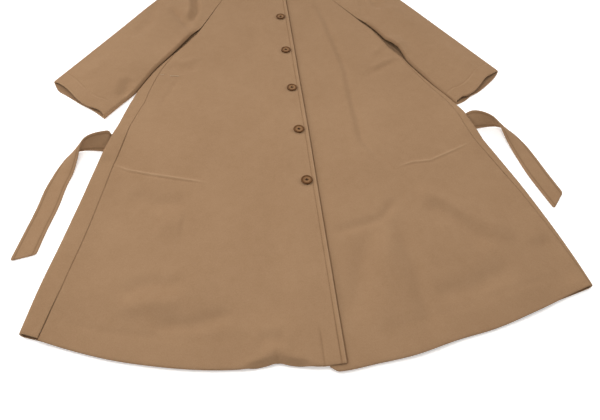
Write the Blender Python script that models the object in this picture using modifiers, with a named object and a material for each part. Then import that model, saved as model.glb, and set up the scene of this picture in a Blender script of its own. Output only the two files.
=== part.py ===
"""A wool balmacaan coat, buttoned up and laid flat on its back, with its tie belt.

Metres, +Z up. +Y runs from the hem to the collar and +X to the wearer's left, which is to the right
of someone who looks at the coat from its hem. The cloth that rests on the ground lies at z = 0.
Every cut piece is an open grid on its own outline, laid at its own level, and then given its thickness.
"""
import math

import bmesh
import bpy
from mathutils import Vector

# Cloth and layers, from the ground up
CLOTH = 0.0022
SEAM_GAP = 0.0008
SEAM_STEP = 0.0006
FRONT_LEVEL = 0.0070
LAP_RISE = 0.0031
LAP_RAMP = (-0.055, -0.012)
FOLD_RADIUS_HEM = 0.0060
FOLD_RADIUS = 0.0046
FOLD_SLACK = 0.070
ARMPIT_RUN = 0.045
ARMPIT_GAP = 0.0010
ARMPIT_GAP_START = (0.120, 0.070)
ARMPIT_GAP_END = (-0.010, 0.004)

# Every layer is lifted where the belt and the fall of the collar lie under the coat
BELT_WIDTH = 0.036
BELT_CLOTH = 0.0026
BELT_Y = -0.078
BELT_LIFT = 0.0034
BELT_RAMP = (0.019, 0.044)
SIDE_LIFT = 0.0075
SIDE_LIFT_REACH = (-0.010, 0.070)
SIDE_LIFT_LENGTH = (0.018, 0.070)
SIDE_AT_BELT = (0.3262, 0.3410)
COLLAR_LIFT = 0.0034
COLLAR_RAMP = (0.425, 0.452)

# Outlines seen from above as rows of (x, y). Side, raglan and edge lines run from the hem to the neck.
SIDE_RIGHT = (
    (-0.4150, -0.4417), (-0.3990, -0.3650), (-0.3802, -0.2901), (-0.3589, -0.2006), (-0.3425, -0.1330),
    (-0.3335, -0.1050), (-0.3225, -0.0650), (-0.3026, 0.0087), (-0.2919, 0.0421), (-0.2811, 0.0710),
    (-0.2515, 0.1280), (-0.2270, 0.1640), (-0.1910, 0.2130), (-0.1745, 0.2400), (-0.1580, 0.2690),
)
SIDE_LEFT = (
    (0.4220, -0.4450), (0.4154, -0.3971), (0.4067, -0.3457), (0.3958, -0.2904), (0.3824, -0.2309),
    (0.3643, -0.1665), (0.3460, -0.1050), (0.3360, -0.0500), (0.3265, -0.0203), (0.3032, 0.0268),
    (0.2875, 0.0594), (0.2670, 0.1043), (0.2558, 0.1331), (0.2390, 0.1640), (0.2310, 0.1850),
    (0.2110, 0.2350), (0.1853, 0.2810),
)
RAGLAN_FRONT_RIGHT = ((-0.1110, 0.3750), (-0.0620, 0.4760))
RAGLAN_FRONT_LEFT = ((0.1446, 0.3562), (0.0860, 0.4760))
RAGLAN_BACK_RIGHT = ((-0.1130, 0.3850), (-0.0600, 0.5050))
RAGLAN_BACK_LEFT = ((0.1450, 0.3700), (0.0840, 0.5050))
FRONT_EDGE = ((0.0314, -0.5300), (0.0345, 0.1500), (0.0345, 0.4290))
UNDER_EDGE = ((0.0080, -0.5330), (-0.0010, -0.4000), (-0.0010, 0.4290))
SLEEVE_INNER_RIGHT = (
    (-0.3370, -0.0030), (-0.3147, 0.0300), (-0.2890, 0.0660), (-0.2730, 0.0940), (-0.2543, 0.1280),
    (-0.2300, 0.1640), (-0.1938, 0.2130), (-0.1770, 0.2400), (-0.1594, 0.2690),
)
SLEEVE_INNER_LEFT = (
    (0.3310, -0.0210), (0.3064, 0.0268), (0.2907, 0.0594), (0.2702, 0.1043), (0.2592, 0.1331),
    (0.2465, 0.1640), (0.2365, 0.1900), (0.2150, 0.2350), (0.1869, 0.2810),
)
SHOULDER_RIGHT = (
    (-0.4480, 0.1090), (-0.3353, 0.2740), (-0.2591, 0.3875), (-0.2050, 0.4560),
    (-0.1500, 0.4920), (-0.0800, 0.5160),
)
SHOULDER_LEFT = (
    (0.4465, 0.0695), (0.3700, 0.2150), (0.2945, 0.3570), (0.2400, 0.4420),
    (0.1800, 0.4900), (0.1040, 0.5160),
)

# Hems, necks and cuffs, from the wearer's right to the wearer's left
HEM_FRONT_RIGHT = (
    (-0.4150, -0.4417), (-0.3894, -0.4534), (-0.3011, -0.4875), (-0.2335, -0.5060),
    (-0.1667, -0.5185), (-0.0617, -0.5225), (0.0314, -0.5300),
)
HEM_FRONT_LEFT = (
    (0.0080, -0.5330), (0.0206, -0.5399), (0.0770, -0.5337), (0.1349, -0.5264), (0.1968, -0.5105),
    (0.2597, -0.4974), (0.3276, -0.4766), (0.3800, -0.4575), (0.4220, -0.4450),
)
HEM_BACK = (
    (-0.4150, -0.4417), (-0.3894, -0.4510), (-0.3011, -0.4810), (-0.1667, -0.5090), (-0.0617, -0.5120),
    (0.0200, -0.5200), (0.0770, -0.5235), (0.1349, -0.5180), (0.1968, -0.5050), (0.2597, -0.4915),
    (0.3276, -0.4716), (0.4220, -0.4450),
)
NECK_FRONT_RIGHT = ((-0.0620, 0.4760), (-0.0250, 0.4400), (0.0345, 0.4290))
NECK_FRONT_LEFT = ((-0.0010, 0.4290), (0.0480, 0.4400), (0.0860, 0.4760))
NECK_BACK = ((-0.0600, 0.5050), (0.0120, 0.4980), (0.0840, 0.5050))
CUFF_FRONT_RIGHT = ((-0.4480, 0.1090), (-0.3927, 0.0562), (-0.3370, -0.0030))
CUFF_FRONT_LEFT = ((0.3310, -0.0210), (0.3823, 0.0167), (0.4465, 0.0695))
CUFF_BACK_RIGHT = ((-0.4480, 0.1090), (-0.4300, 0.0800), (-0.3970, 0.0500), (-0.3370, -0.0030))
CUFF_BACK_LEFT = ((0.3310, -0.0210), (0.3860, 0.0120), (0.4465, 0.0695))

# Rows of the fronts and the back below the armpit: (y at the side, y at the middle)
LOWER_ROWS = (
    (-0.4420, -0.5300), (-0.4000, -0.4600), (-0.3450, -0.3800), (-0.2750, -0.2900), (-0.2000, -0.2000),
    (-0.1500, -0.1500), (-0.1220, -0.1220), (-0.0970, -0.0970), (-0.0590, -0.0590), (-0.0340, -0.0340),
    (0.0050, 0.0050), (0.0500, 0.0450), (0.1000, 0.0850), (0.1500, 0.1250), (0.2000, 0.1650),
    (0.2300, 0.1950), (0.2550, 0.2150), (0.2750, 0.2300),
)
# Rows above the armpit, as shares of the way to the neck
UPPER_ROWS = (0.12, 0.30, 0.52, 0.74, 0.84, 1.0)

# How far the back comes round each side fold onto the front: (y, wearer's right, wearer's left)
WRAP = (
    (-0.450, 0.026, 0.008), (-0.300, 0.036, 0.013), (-0.110, 0.036, 0.020), (-0.040, 0.032, 0.014),
    (0.060, 0.015, 0.010), (0.112, 0.006, 0.007), (0.200, 0.002, 0.002), (0.270, 0.000, 0.000),
)

# Columns of cloth, by distance from a seam, from the front edge and from the crest of a side fold
FROM_SEAM = (0.0, SEAM_STEP, 0.003, 0.006, 0.010, 0.018, 0.035)
FROM_EDGE = (0.055, 0.037, 0.018, 0.0)
ROUND_FOLD = (0.0072, 0.0036, 0.0, -0.0036, -0.0072)
UNDER_FOLD = (-0.013, -0.028, -0.050, -0.085)
ROUND_FOLD_BLEND = (0.004, 0.016)
SLEEVE_FROM_FOLD = (0.0, SEAM_STEP, 0.0035, 0.0065, 0.0135)

# Even columns between those at fixed distances, and the rows of a sleeve
FRONT_SPARE = 4
BACK_SPARE = 3
SLEEVE_SPARE = 3
SLEEVE_ROWS = 13

# The most of a row's width that the columns at fixed distances take where the coat is narrow
FIXED_SHARE = 0.8

# Where the rows start to follow the armpit, how soon the bow of the neck fades below it, how far the large
# folds stay from a side fold, and how full the swell of a sleeve is
ARMPIT_ROWS_FROM = 0.15
NECK_FADE = 1.5
FOLD_INSET = 0.03
SWELL_FULLNESS = 0.8

# Largest folds of the fronts: (start, end, half width, rise)
FRONT_FOLDS = (
    ((-0.0617, -0.5400), (-0.0640, -0.4850), 0.030, 0.0060),
    ((0.1350, -0.1500), (0.3050, -0.4300), 0.050, 0.0040),
    ((0.1080, -0.1800), (0.1450, -0.5000), 0.045, 0.0030),
    ((-0.3300, -0.3900), (-0.1900, -0.4000), 0.040, 0.0030),
)

# Height of the middle of each sleeve above its folds: (share of the length from the cuff, rise)
SLEEVE_SWELL = ((0.0, 0.0110), (0.2, 0.0070), (0.5, 0.0060), (0.75, 0.0020), (1.0, 0.0))
SLEEVE_FOLD_RADIUS = 0.0045

# Pocket bags, between the fronts and the back: (y, outer x, inner x) from the bottom to the top, and how
# far the bottom drops towards the middle
POCKET_CLOTH = 0.0012
POCKET_LEVEL = 0.0040
POCKET_SLANT = 0.050
POCKET_RIGHT = (
    (-0.1300, -0.2560, -0.1480), (-0.1220, -0.2560, -0.1500), (-0.0970, -0.2560, -0.1540),
    (-0.0590, -0.2560, -0.1620), (-0.0340, -0.2560, -0.1680), (0.0050, -0.2540, -0.1780),
    (0.0500, -0.2440, -0.1890), (0.1000, -0.2300, -0.2000),
)
POCKET_LEFT = (
    (-0.1300, 0.2600, 0.1740), (-0.1220, 0.2600, 0.1750), (-0.0970, 0.2600, 0.1790),
    (-0.0590, 0.2600, 0.1850), (-0.0340, 0.2600, 0.1890), (0.0050, 0.2580, 0.1960),
    (0.0500, 0.2500, 0.2040), (0.1000, 0.2380, 0.2120),
)

# Tie belt, from under the back to each end: (hem side edge, collar side edge), each (x, y, z)
BELT_MIDDLE_X = 0.012
BELT_RIGHT = (
    ((-0.2700, -0.0960, 0.0017), (-0.2700, -0.0600, 0.0017)),
    ((-0.2980, -0.0950, 0.0017), (-0.2975, -0.0590, 0.0017)),
    ((-0.3120, -0.0930, 0.0017), (-0.3110, -0.0572, 0.0028)),
    ((-0.3240, -0.0908, 0.0017), (-0.3210, -0.0552, 0.0058)),
    ((-0.3350, -0.0885, 0.0017), (-0.3305, -0.0550, 0.0135)),
    ((-0.3480, -0.0860, 0.0017), (-0.3405, -0.0595, 0.0245)),
    ((-0.3620, -0.0835, 0.0017), (-0.3525, -0.0685, 0.0318)),
    ((-0.3770, -0.0818, 0.0017), (-0.3645, -0.0775, 0.0328)),
    ((-0.3905, -0.0865, 0.0017), (-0.3715, -0.0850, 0.0305)),
    ((-0.4020, -0.1005, 0.0017), (-0.3755, -0.0955, 0.0240)),
    ((-0.4105, -0.1195, 0.0017), (-0.3785, -0.1110, 0.0135)),
    ((-0.4175, -0.1430, 0.0017), (-0.3825, -0.1370, 0.0045)),
    ((-0.4233, -0.1720, 0.0017), (-0.3882, -0.1660, 0.0018)),
    ((-0.4308, -0.2146, 0.0017), (-0.3953, -0.2100, 0.0017)),
    ((-0.4425, -0.2650, 0.0017), (-0.4070, -0.2585, 0.0017)),
    ((-0.4535, -0.3120, 0.0017), (-0.4160, -0.3035, 0.0017)),
)
BELT_LEFT = (
    ((0.2700, -0.0960, 0.0017), (0.2700, -0.0600, 0.0017)),
    ((0.3050, -0.0955, 0.0017), (0.3045, -0.0595, 0.0017)),
    ((0.3230, -0.0942, 0.0017), (0.3220, -0.0584, 0.0028)),
    ((0.3370, -0.0925, 0.0017), (0.3350, -0.0572, 0.0046)),
    ((0.3490, -0.0905, 0.0017), (0.3455, -0.0572, 0.0125)),
    ((0.3620, -0.0885, 0.0017), (0.3550, -0.0615, 0.0240)),
    ((0.3755, -0.0865, 0.0017), (0.3660, -0.0700, 0.0312)),
    ((0.3890, -0.0850, 0.0017), (0.3765, -0.0780, 0.0325)),
    ((0.4030, -0.0870, 0.0017), (0.3855, -0.0855, 0.0305)),
    ((0.4160, -0.0970, 0.0017), (0.3920, -0.0950, 0.0262)),
    ((0.4260, -0.1145, 0.0017), (0.3962, -0.1080, 0.0180)),
    ((0.4328, -0.1400, 0.0017), (0.3990, -0.1320, 0.0080)),
    ((0.4373, -0.1750, 0.0017), (0.4020, -0.1690, 0.0020)),
    ((0.4438, -0.2110, 0.0017), (0.4085, -0.2170, 0.0017)),
    ((0.4535, -0.2585, 0.0017), (0.4250, -0.2910, 0.0017)),
)

# Collar, from the middle of the back round to the front end, on the wearer's left and measured from the
# middle of the neck: (neck edge, top of the stand, top of the fall, outer edge), each (x, y, z)
NECK_MIDDLE_X = 0.0120
COLLAR_CLOTH = 0.0020
COLLAR_ROWS = (
    ((0.000, 0.4995, 0.0058), (0.000, 0.5374, 0.0058), (0.000, 0.5374, 0.0007), (0.000, 0.4660, 0.0007)),
    ((0.040, 0.5020, 0.0058), (0.042, 0.5369, 0.0058), (0.046, 0.5369, 0.0007), (0.060, 0.4660, 0.0007)),
    ((0.072, 0.5080, 0.0060), (0.075, 0.5349, 0.0060), (0.083, 0.5349, 0.0007), (0.115, 0.4690, 0.0007)),
    ((0.088, 0.5175, 0.0066), (0.091, 0.5300, 0.0068), (0.100, 0.5290, 0.0028), (0.152, 0.4960, 0.0012)),
    ((0.091, 0.5205, 0.0076), (0.094, 0.5310, 0.0078), (0.102, 0.5300, 0.0090), (0.157, 0.5040, 0.0090)),
    ((0.088, 0.5175, 0.0090), (0.091, 0.5270, 0.0092), (0.099, 0.5250, 0.0156), (0.150, 0.4840, 0.0170)),
    ((0.073, 0.4800, 0.0090), (0.075, 0.4900, 0.0090), (0.082, 0.4890, 0.0166), (0.125, 0.4300, 0.0169)),
    ((0.045, 0.4500, 0.0090), (0.045, 0.4590, 0.0090), (0.049, 0.4590, 0.0166), (0.085, 0.3850, 0.0169)),
    ((0.005, 0.4350, 0.0090), (0.005, 0.4430, 0.0090), (0.007, 0.4430, 0.0166), (0.032, 0.3640, 0.0169)),
)

# Buttons
BUTTON_COUNT = 6
BUTTON_PITCH = 0.1222
BUTTON_X = 0.0165
BUTTON_LOWEST_Y = -0.1977
BUTTON_DIAMETER = 0.020
BUTTON_HEIGHT = 0.0032
BUTTON_RIM = 0.0022
BUTTON_DISH = 0.0009
BUTTON_HOLE_RADIUS = 0.0010
BUTTON_HOLE_OFFSET = 0.0024
BUTTON_SEGMENTS = 20

COLOURS = {
    "wool": (0.41, 0.24, 0.125), "wool_shade": (0.37, 0.215, 0.11),
    "lining": (0.30, 0.18, 0.10), "horn": (0.20, 0.075, 0.022),
}


def smooth(low, high, value):
    """0 below low, 1 above high, and a smooth step between them."""
    share = min(1.0, max(0.0, (value - low) / (high - low)))
    return share * share * (3.0 - 2.0 * share)


def from_table(rows, key, column):
    """Read one column of a table whose first column rises, straight between its rows."""
    if key <= rows[0][0]:
        return rows[0][column]
    for low, high in zip(rows, rows[1:]):
        if key <= high[0]:
            share = (key - low[0]) / (high[0] - low[0])
            return low[column] + share * (high[column] - low[column])
    return rows[-1][column]


def curve_through(points):
    """A smooth curve through the points, as a function of the share of its length from 0 to 1."""
    points = [Vector(point) for point in points]
    runs = [0.0]
    for start, end in zip(points, points[1:]):
        runs.append(runs[-1] + (end - start).length)

    def at(share):
        target = min(1.0, max(0.0, share)) * runs[-1]
        index = 0
        while index < len(points) - 2 and runs[index + 1] < target:
            index += 1
        step = runs[index + 1] - runs[index]
        t = (target - runs[index]) / step
        before = points[index - 1] if index else points[0] * 2.0 - points[1]
        after = points[index + 2] if index + 2 < len(points) else points[-1] * 2.0 - points[-2]
        start, end = points[index], points[index + 1]
        slope_in = (end - before) * (step / ((end - start).length + (start - before).length))
        slope_out = (after - start) * (step / ((end - start).length + (after - end).length))
        return (start * (2 * t**3 - 3 * t**2 + 1) + slope_in * (t**3 - 2 * t**2 + t)
                + end * (3 * t**2 - 2 * t**3) + slope_out * (t**3 - t**2))

    return at


def patch(bottom, top, left, right):
    """A four-sided outline filled in between its edges: u runs from left to right, v from bottom to top."""
    def at(u, v):
        across = left(v) * (1 - u) + right(v) * u
        along = bottom(u) * (1 - v) + top(u) * v
        corners = ((bottom(0.0) * (1 - u) + bottom(1.0) * u) * (1 - v)
                   + (top(0.0) * (1 - u) + top(1.0) * u) * v)
        return across + along - corners

    return at


def line_by(points, key, value):
    """A smooth line through the points that gives one coordinate for each value of the other."""
    rows = sorted((point[key], point[value]) for point in points)

    def slope(index):
        low, high = max(index - 1, 0), min(index + 1, len(rows) - 1)
        return (rows[high][1] - rows[low][1]) / (rows[high][0] - rows[low][0])

    def at(where):
        index = 0
        while index < len(rows) - 2 and rows[index + 1][0] < where:
            index += 1
        step = rows[index + 1][0] - rows[index][0]
        t = min(1.0, max(0.0, (where - rows[index][0]) / step))
        return (rows[index][1] * (2 * t**3 - 3 * t**2 + 1) + slope(index) * step * (t**3 - 2 * t**2 + t)
                + rows[index + 1][1] * (3 * t**2 - 2 * t**3) + slope(index + 1) * step * (t**3 - t**2))

    return at


def lift(x, y):
    """How far the belt and the collar under the coat raise every layer above them."""
    beside_belt = abs(y - BELT_Y)
    under_belt = 1 - smooth(*BELT_RAMP, beside_belt)
    side_x = SIDE_AT_BELT[0] if x < NECK_MIDDLE_X else SIDE_AT_BELT[1]
    bulge = 1 - smooth(*SIDE_LIFT_REACH, side_x - abs(x))
    bulge *= 1 - smooth(*SIDE_LIFT_LENGTH, beside_belt)
    return max(BELT_LIFT * under_belt, SIDE_LIFT * bulge) + COLLAR_LIFT * smooth(*COLLAR_RAMP, y)


def fold_radius(y):
    """Outer radius of the side folds, widest at the hem."""
    return FOLD_RADIUS_HEM + (FOLD_RADIUS - FOLD_RADIUS_HEM) * smooth(-0.45, -0.15, y)


def folded(distance, radius, closed):
    """Plan distance and drop of cloth that turns over a fold, for a length of cloth from the fold's crest."""
    quarter = radius * math.pi / 2
    if distance < quarter:
        angle = distance / radius
        plan = radius * (1 - math.cos(angle))
        drop = radius * (1 - math.sin(angle))
    else:
        plan = radius + distance - quarter
        drop = 0.0
    return distance + closed * (plan - distance), closed * drop


def fold_rise(x, y, rows):
    """Height that the large folds in a table add at a place."""
    place = Vector((x, y))
    total = 0.0
    for start, end, half_width, rise in rows:
        start, end = Vector(start), Vector(end)
        share = min(1.0, max(0.0, (place - start).dot(end - start) / (end - start).length_squared))
        reach = (place - start.lerp(end, share)).length / half_width
        total += rise * math.exp(-reach * reach)
    return total


def front_height(x, y, from_fold, closed, lapped):
    """Height of the outside of a front, without the lift of what lies under the coat."""
    crest = 2 * fold_radius(y)
    level = FRONT_LEVEL + closed * (crest - FRONT_LEVEL) * (1 - smooth(0.0, FOLD_SLACK, from_fold))
    if lapped:
        level += LAP_RISE * smooth(*LAP_RAMP, x)
    return level + fold_rise(x, y, FRONT_FOLDS) * smooth(0.0, FOLD_INSET, from_fold)


def grid_piece(name, columns, rows, place, thickness, material, outside_up=True):
    """A cut piece: a grid whose corners go to place(column, row), thickened towards its inside."""
    mesh = bpy.data.meshes.new(name)
    work = bmesh.new()
    bmesh.ops.create_grid(work, x_segments=columns, y_segments=rows, size=1.0)
    for vertex in work.verts:
        column = round((vertex.co.x + 1) / 2 * columns)
        row = round((vertex.co.y + 1) / 2 * rows)
        vertex.co = place(column, row)
    if not outside_up:
        bmesh.ops.reverse_faces(work, faces=work.faces)
    work.to_mesh(mesh)
    work.free()
    mesh.materials.append(material)
    piece = bpy.data.objects.new(name, mesh)
    coat.objects.link(piece)
    wall = piece.modifiers.new("Thickness", "SOLIDIFY")
    wall.thickness = thickness
    wall.offset = -1.0
    wall.use_even_offset = False
    wall.use_quality_normals = True
    return piece


def armpit_closed(y, armpit_y):
    """1 where the side is a closed fold, 0 above the armpit where the sleeve is sewn on."""
    return 1 - smooth(armpit_y - ARMPIT_RUN, armpit_y, y)


def half_gap(y, armpit_y):
    """Half the gap at a seam on a fold, wider where the two layers part below an armpit."""
    near = smooth(armpit_y - ARMPIT_GAP_START[0], armpit_y - ARMPIT_GAP_START[1], y)
    past = smooth(armpit_y + ARMPIT_GAP_END[0], armpit_y + ARMPIT_GAP_END[1], y)
    return SEAM_GAP / 2 + ARMPIT_GAP * near * (1 - past)


def panel_rows(armpit_y, side_top, middle_top):
    """The rows of a front or of the back: (y at the side, y at the middle), from the hem to the neck."""
    rows = []
    last_y = LOWER_ROWS[-1][0]
    for side_y, middle_y in LOWER_ROWS:
        moved = (armpit_y - last_y) * smooth(ARMPIT_ROWS_FROM, last_y, side_y)
        rows.append((side_y + moved, middle_y))
    start_side, start_middle = rows[-1]
    for share in UPPER_ROWS:
        side_y = start_side + share * (side_top - start_side)
        middle_y = start_middle + share * (middle_top - start_middle)
        rows.append((side_y, middle_y))
    return rows


def bow(line, start_x, end_x, u):
    """How far an end line stands out from the straight line between its ends."""
    straight = line(start_x) * (1 - u) + line(end_x) * u
    return line(start_x * (1 - u) + end_x * u) - straight


def hem_share(rows, row):
    """How much of the bow of the hem a row still has."""
    if rows[row][1] >= 0:
        return 0.0
    return max(0.0, (rows[row][0] - rows[row][1]) / (rows[0][0] - rows[0][1]))


def neck_share(row):
    """How much of the bow of the neck a row already has."""
    return max(0.0, (row - len(LOWER_ROWS) + 1) / len(UPPER_ROWS)) ** NECK_FADE


def front_panel(name, side, raglan, hem, neck, edge, on_right, material):
    """A front, from its side seam to its front edge."""
    armpit_y = side[-1][1]
    side_x, edge_x = line_by(side + raglan, 1, 0), line_by(edge, 1, 0)
    hem_y, neck_y = line_by(hem, 0, 1), line_by(neck, 0, 1)
    rows = panel_rows(armpit_y, raglan[-1][1], edge[-1][1])
    spare = FRONT_SPARE
    near = len(FROM_SEAM)
    columns = near - 1 + spare + len(FROM_EDGE)
    wrap_column = 1 if on_right else 2
    hem_ends = (side[0][0], edge[0][0])
    neck_ends = (raglan[-1][0], edge[-1][0])

    def place(column, row):
        side_y = rows[row][0] if row else side[0][1]
        middle_y = rows[row][1] if row else edge[0][1]
        crest_x, front_x = side_x(side_y), edge_x(middle_y)
        width = abs(front_x - crest_x)
        closed = armpit_closed(side_y, armpit_y)
        index = column if on_right else columns - column
        start = from_table(WRAP, side_y, wrap_column) + half_gap(side_y, armpit_y)
        reach = min(1.0, FIXED_SHARE * width / (start + FROM_SEAM[-1] + FROM_EDGE[0]))
        last = width - FROM_EDGE[0] * reach
        if index < near:
            distance = start + FROM_SEAM[index] * reach
        elif index < near + spare:
            begin = start + FROM_SEAM[-1] * reach
            distance = begin + (last - begin) * (index - near + 1) / spare
        else:
            distance = width - (FROM_EDGE[index - near - spare + 1] * reach if index < columns else 0.0)
        from_fold, drop = folded(distance, fold_radius(side_y), closed)
        from_fold = from_fold if index < near else distance
        u = from_fold / width
        x = crest_x + (front_x - crest_x) * u
        y = side_y + (middle_y - side_y) * u
        y += hem_share(rows, row) * bow(hem_y, *hem_ends, u)
        y += neck_share(row) * bow(neck_y, *neck_ends, u)
        height = front_height(x, y, from_fold, closed, on_right) - drop
        return x, y, height + lift(x, y)

    return grid_piece(name, columns, len(rows) - 1, place, CLOTH, material)


def back_columns(wrap):
    """Distances of the back's columns from the crest of a side fold, above 0 on the front."""
    turned = (wrap, wrap - SEAM_STEP, (wrap - SEAM_STEP + ROUND_FOLD[0]) / 2) + ROUND_FOLD
    count = len(turned) - 2
    even = [wrap] + [wrap - SEAM_STEP + (ROUND_FOLD[-1] - wrap + SEAM_STEP) * step / count
                     for step in range(count + 1)]
    share = smooth(*ROUND_FOLD_BLEND, wrap)
    return [low + (high - low) * share for low, high in zip(even, turned)] + list(UNDER_FOLD)


def back_panel(material):
    """The back, on the ground, with its edges brought round both side folds to the side seams."""
    right_x = line_by(SIDE_RIGHT + RAGLAN_BACK_RIGHT, 1, 0)
    left_x = line_by(SIDE_LEFT + RAGLAN_BACK_LEFT, 1, 0)
    hem_y, neck_y = line_by(HEM_BACK, 0, 1), line_by(NECK_BACK, 0, 1)
    top_y, middle_top = NECK_BACK[0][1], NECK_BACK[1][1]
    right_rows = panel_rows(SIDE_RIGHT[-1][1], top_y, middle_top)
    left_rows = panel_rows(SIDE_LEFT[-1][1], top_y, middle_top)
    spare = BACK_SPARE
    near = len(back_columns(0.0))
    columns = 2 * (near - 1) + spare
    hem_ends = (HEM_BACK[0][0], HEM_BACK[-1][0])
    neck_ends = (NECK_BACK[0][0], NECK_BACK[-1][0])

    def place(column, row):
        right_y = right_rows[row][0] if row else SIDE_RIGHT[0][1]
        left_y = left_rows[row][0] if row else SIDE_LEFT[0][1]
        ends = (right_x(right_y), left_x(left_y))
        width = ends[1] - ends[0]
        on_right = column <= columns / 2
        side_y = right_y if on_right else left_y
        armpit_y = (SIDE_RIGHT if on_right else SIDE_LEFT)[-1][1]
        closed = armpit_closed(side_y, armpit_y)
        index = column if on_right else columns - column
        reach = min(1.0, FIXED_SHARE / 2 * width / abs(UNDER_FOLD[-1]))
        if index < near:
            wrap = from_table(WRAP, side_y, 1 if on_right else 2) - half_gap(side_y, armpit_y)
            distance = back_columns(wrap)[index] * reach
            from_fold, drop = folded(abs(distance), fold_radius(side_y), closed)
            u = from_fold / width
        else:
            distance, drop = -1.0, 0.0
            begin = abs(UNDER_FOLD[-1]) * reach / width
            u = begin + (1 - 2 * begin) * (index - near + 1) / spare
        u = u if on_right else 1 - u
        x = ends[0] + width * u
        y = right_y + (left_y - right_y) * u
        y += hem_share(right_rows, row) * bow(hem_y, *hem_ends, u)
        y += neck_share(row) * bow(neck_y, *neck_ends, u)
        height = drop
        if distance > 0:
            height = front_height(x, y, from_fold, closed, on_right) - drop
        return x, y, height + lift(x, y)

    return grid_piece("back", columns, len(right_rows) - 1, place, CLOTH, material, outside_up=False)


def sleeve_half(name, inner, raglan, shoulder, cuff, top, on_right, is_front, material):
    """One half of a raglan sleeve, from the underarm seam or raglan seam to the seam on the shoulder."""
    gap = SEAM_GAP / 2
    outward = -gap if on_right else gap
    inner_line = curve_through([(x + outward, y) for x, y in inner + raglan])
    shoulder_line = curve_through(shoulder)
    left, right = (shoulder_line, inner_line) if on_right else (inner_line, shoulder_line)
    plan = patch(curve_through(cuff), curve_through(top), left, right)
    near_fold = SLEEVE_FROM_FOLD
    rows, spare = SLEEVE_ROWS, SLEEVE_SPARE
    columns = 2 * (len(near_fold) - 1) + spare
    armpit_y = inner[-1][1]

    def place(column, row):
        v = row / rows
        index = columns - column if on_right else column
        in_crest, out_crest = inner_line(v), shoulder_line(v)
        width = (out_crest - in_crest).length
        closed = armpit_closed(in_crest.y, armpit_y)
        inside = min(index, len(near_fold) - 1)
        outside = min(columns - index, len(near_fold) - 1)
        inset = half_gap(in_crest.y, armpit_y)
        start, start_drop = folded(inset + near_fold[inside], SLEEVE_FOLD_RADIUS, closed)
        end, end_drop = folded(gap + near_fold[outside], SLEEVE_FOLD_RADIUS, 1.0)
        middle = min(1.0, max(0.0, (index - len(near_fold) + 1) / spare))
        crowded = min(1.0, FIXED_SHARE * width / (start + end))
        start, end = start * crowded, end * crowded
        from_inner = start + (width - start - end) * middle
        if outside < len(near_fold) - 1:
            from_inner = width - end
        u = from_inner / width
        spot = plan(1 - u if on_right else u, v)
        drop = start_drop + end_drop
        if is_front:
            crest = 2 * SLEEVE_FOLD_RADIUS
            at_inner = FRONT_LEVEL + closed * (crest - FRONT_LEVEL)
            fullness = math.sin(math.pi * u) ** SWELL_FULLNESS if 0 < u < 1 else 0.0
            swell = from_table(SLEEVE_SWELL, v, 1) * fullness
            height = at_inner + (crest - at_inner) * u + swell - drop
        else:
            height = drop
        return spot.x, spot.y, height + lift(spot.x, spot.y)

    return grid_piece(name, columns, rows, place, CLOTH, material, outside_up=is_front)


def pocket_bag(name, table, material):
    """A pocket bag, flat between a front and the back."""
    columns = 6

    def place(column, row):
        y, outer_x, inner_x = table[row]
        u = column / columns
        left_x, right_x = min(outer_x, inner_x), max(outer_x, inner_x)
        x = left_x + (right_x - left_x) * u
        inward = u if outer_x < inner_x else 1 - u
        if row == 0:
            y -= POCKET_SLANT * inward
        return x, y, POCKET_LEVEL + lift(x, y)

    return grid_piece(name, columns, len(table) - 1, place, POCKET_CLOTH, material)


def tie_belt(material):
    """The belt in one length, flat under the back, turned up on edge at each side and laid down again."""
    middle = ((BELT_MIDDLE_X, BELT_Y - BELT_WIDTH / 2, BELT_CLOTH / 2),
              (BELT_MIDDLE_X, BELT_Y + BELT_WIDTH / 2, BELT_CLOTH / 2))
    stations = tuple(reversed(BELT_RIGHT)) + (middle,) + BELT_LEFT
    between, across = 2, 2
    rows = (len(stations) - 1) * between
    low_edge = curve_by_station([station[0] for station in stations])
    high_edge = curve_by_station([station[1] for station in stations])

    def place(column, row):
        station = column / between
        return low_edge(station).lerp(high_edge(station), row / across)

    piece = grid_piece("belt", rows, across, place, BELT_CLOTH, material)
    piece.modifiers["Thickness"].offset = 0.0
    return piece


def curve_by_station(points):
    """A smooth curve through the points, as a function of the station number."""
    points = [Vector(point) for point in points]

    def at(station):
        index = min(int(station), len(points) - 2)
        t = station - index
        before = points[max(index - 1, 0)]
        start, end = points[index], points[index + 1]
        after = points[min(index + 2, len(points) - 1)]
        step = (end - start).length
        slope_in = (end - before) * (step / max(1e-6, step + (start - before).length))
        slope_out = (after - start) * (step / max(1e-6, step + (after - end).length))
        return (start * (2 * t**3 - 3 * t**2 + 1) + slope_in * (t**3 - 2 * t**2 + t)
                + end * (3 * t**2 - 2 * t**3) + slope_out * (t**3 - t**2))

    return at


def collar(material):
    """The collar: its stand, rolled over into the fall, all round the neck."""
    right_half = [tuple((-x, y, z) for x, y, z in row) for row in reversed(COLLAR_ROWS[1:])]
    stations = right_half + [tuple(row) for row in COLLAR_ROWS]
    lines = [curve_by_station([row[index] for row in stations]) for index in range(4)]
    between = 2
    columns = (len(stations) - 1) * between
    roll_steps = 3
    middle = Vector((NECK_MIDDLE_X, 0.0, 0.0))

    def place(column, row):
        neck, stand_top, fall_top, edge = [line(column / between) for line in lines]
        if row < 2:
            spot = neck.lerp(stand_top, row / 2)
        elif row <= 2 + roll_steps:
            angle = math.pi * (row - 2) / roll_steps
            crest = Vector((0.0, (fall_top - stand_top).length / 2, 0.0))
            spot = stand_top.lerp(fall_top, (1 - math.cos(angle)) / 2) + crest * math.sin(angle)
        else:
            spot = fall_top.lerp(edge, (row - 2 - roll_steps) / 2)
        return spot + middle

    return grid_piece("collar", columns, 4 + roll_steps, place, COLLAR_CLOTH, material)


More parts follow.
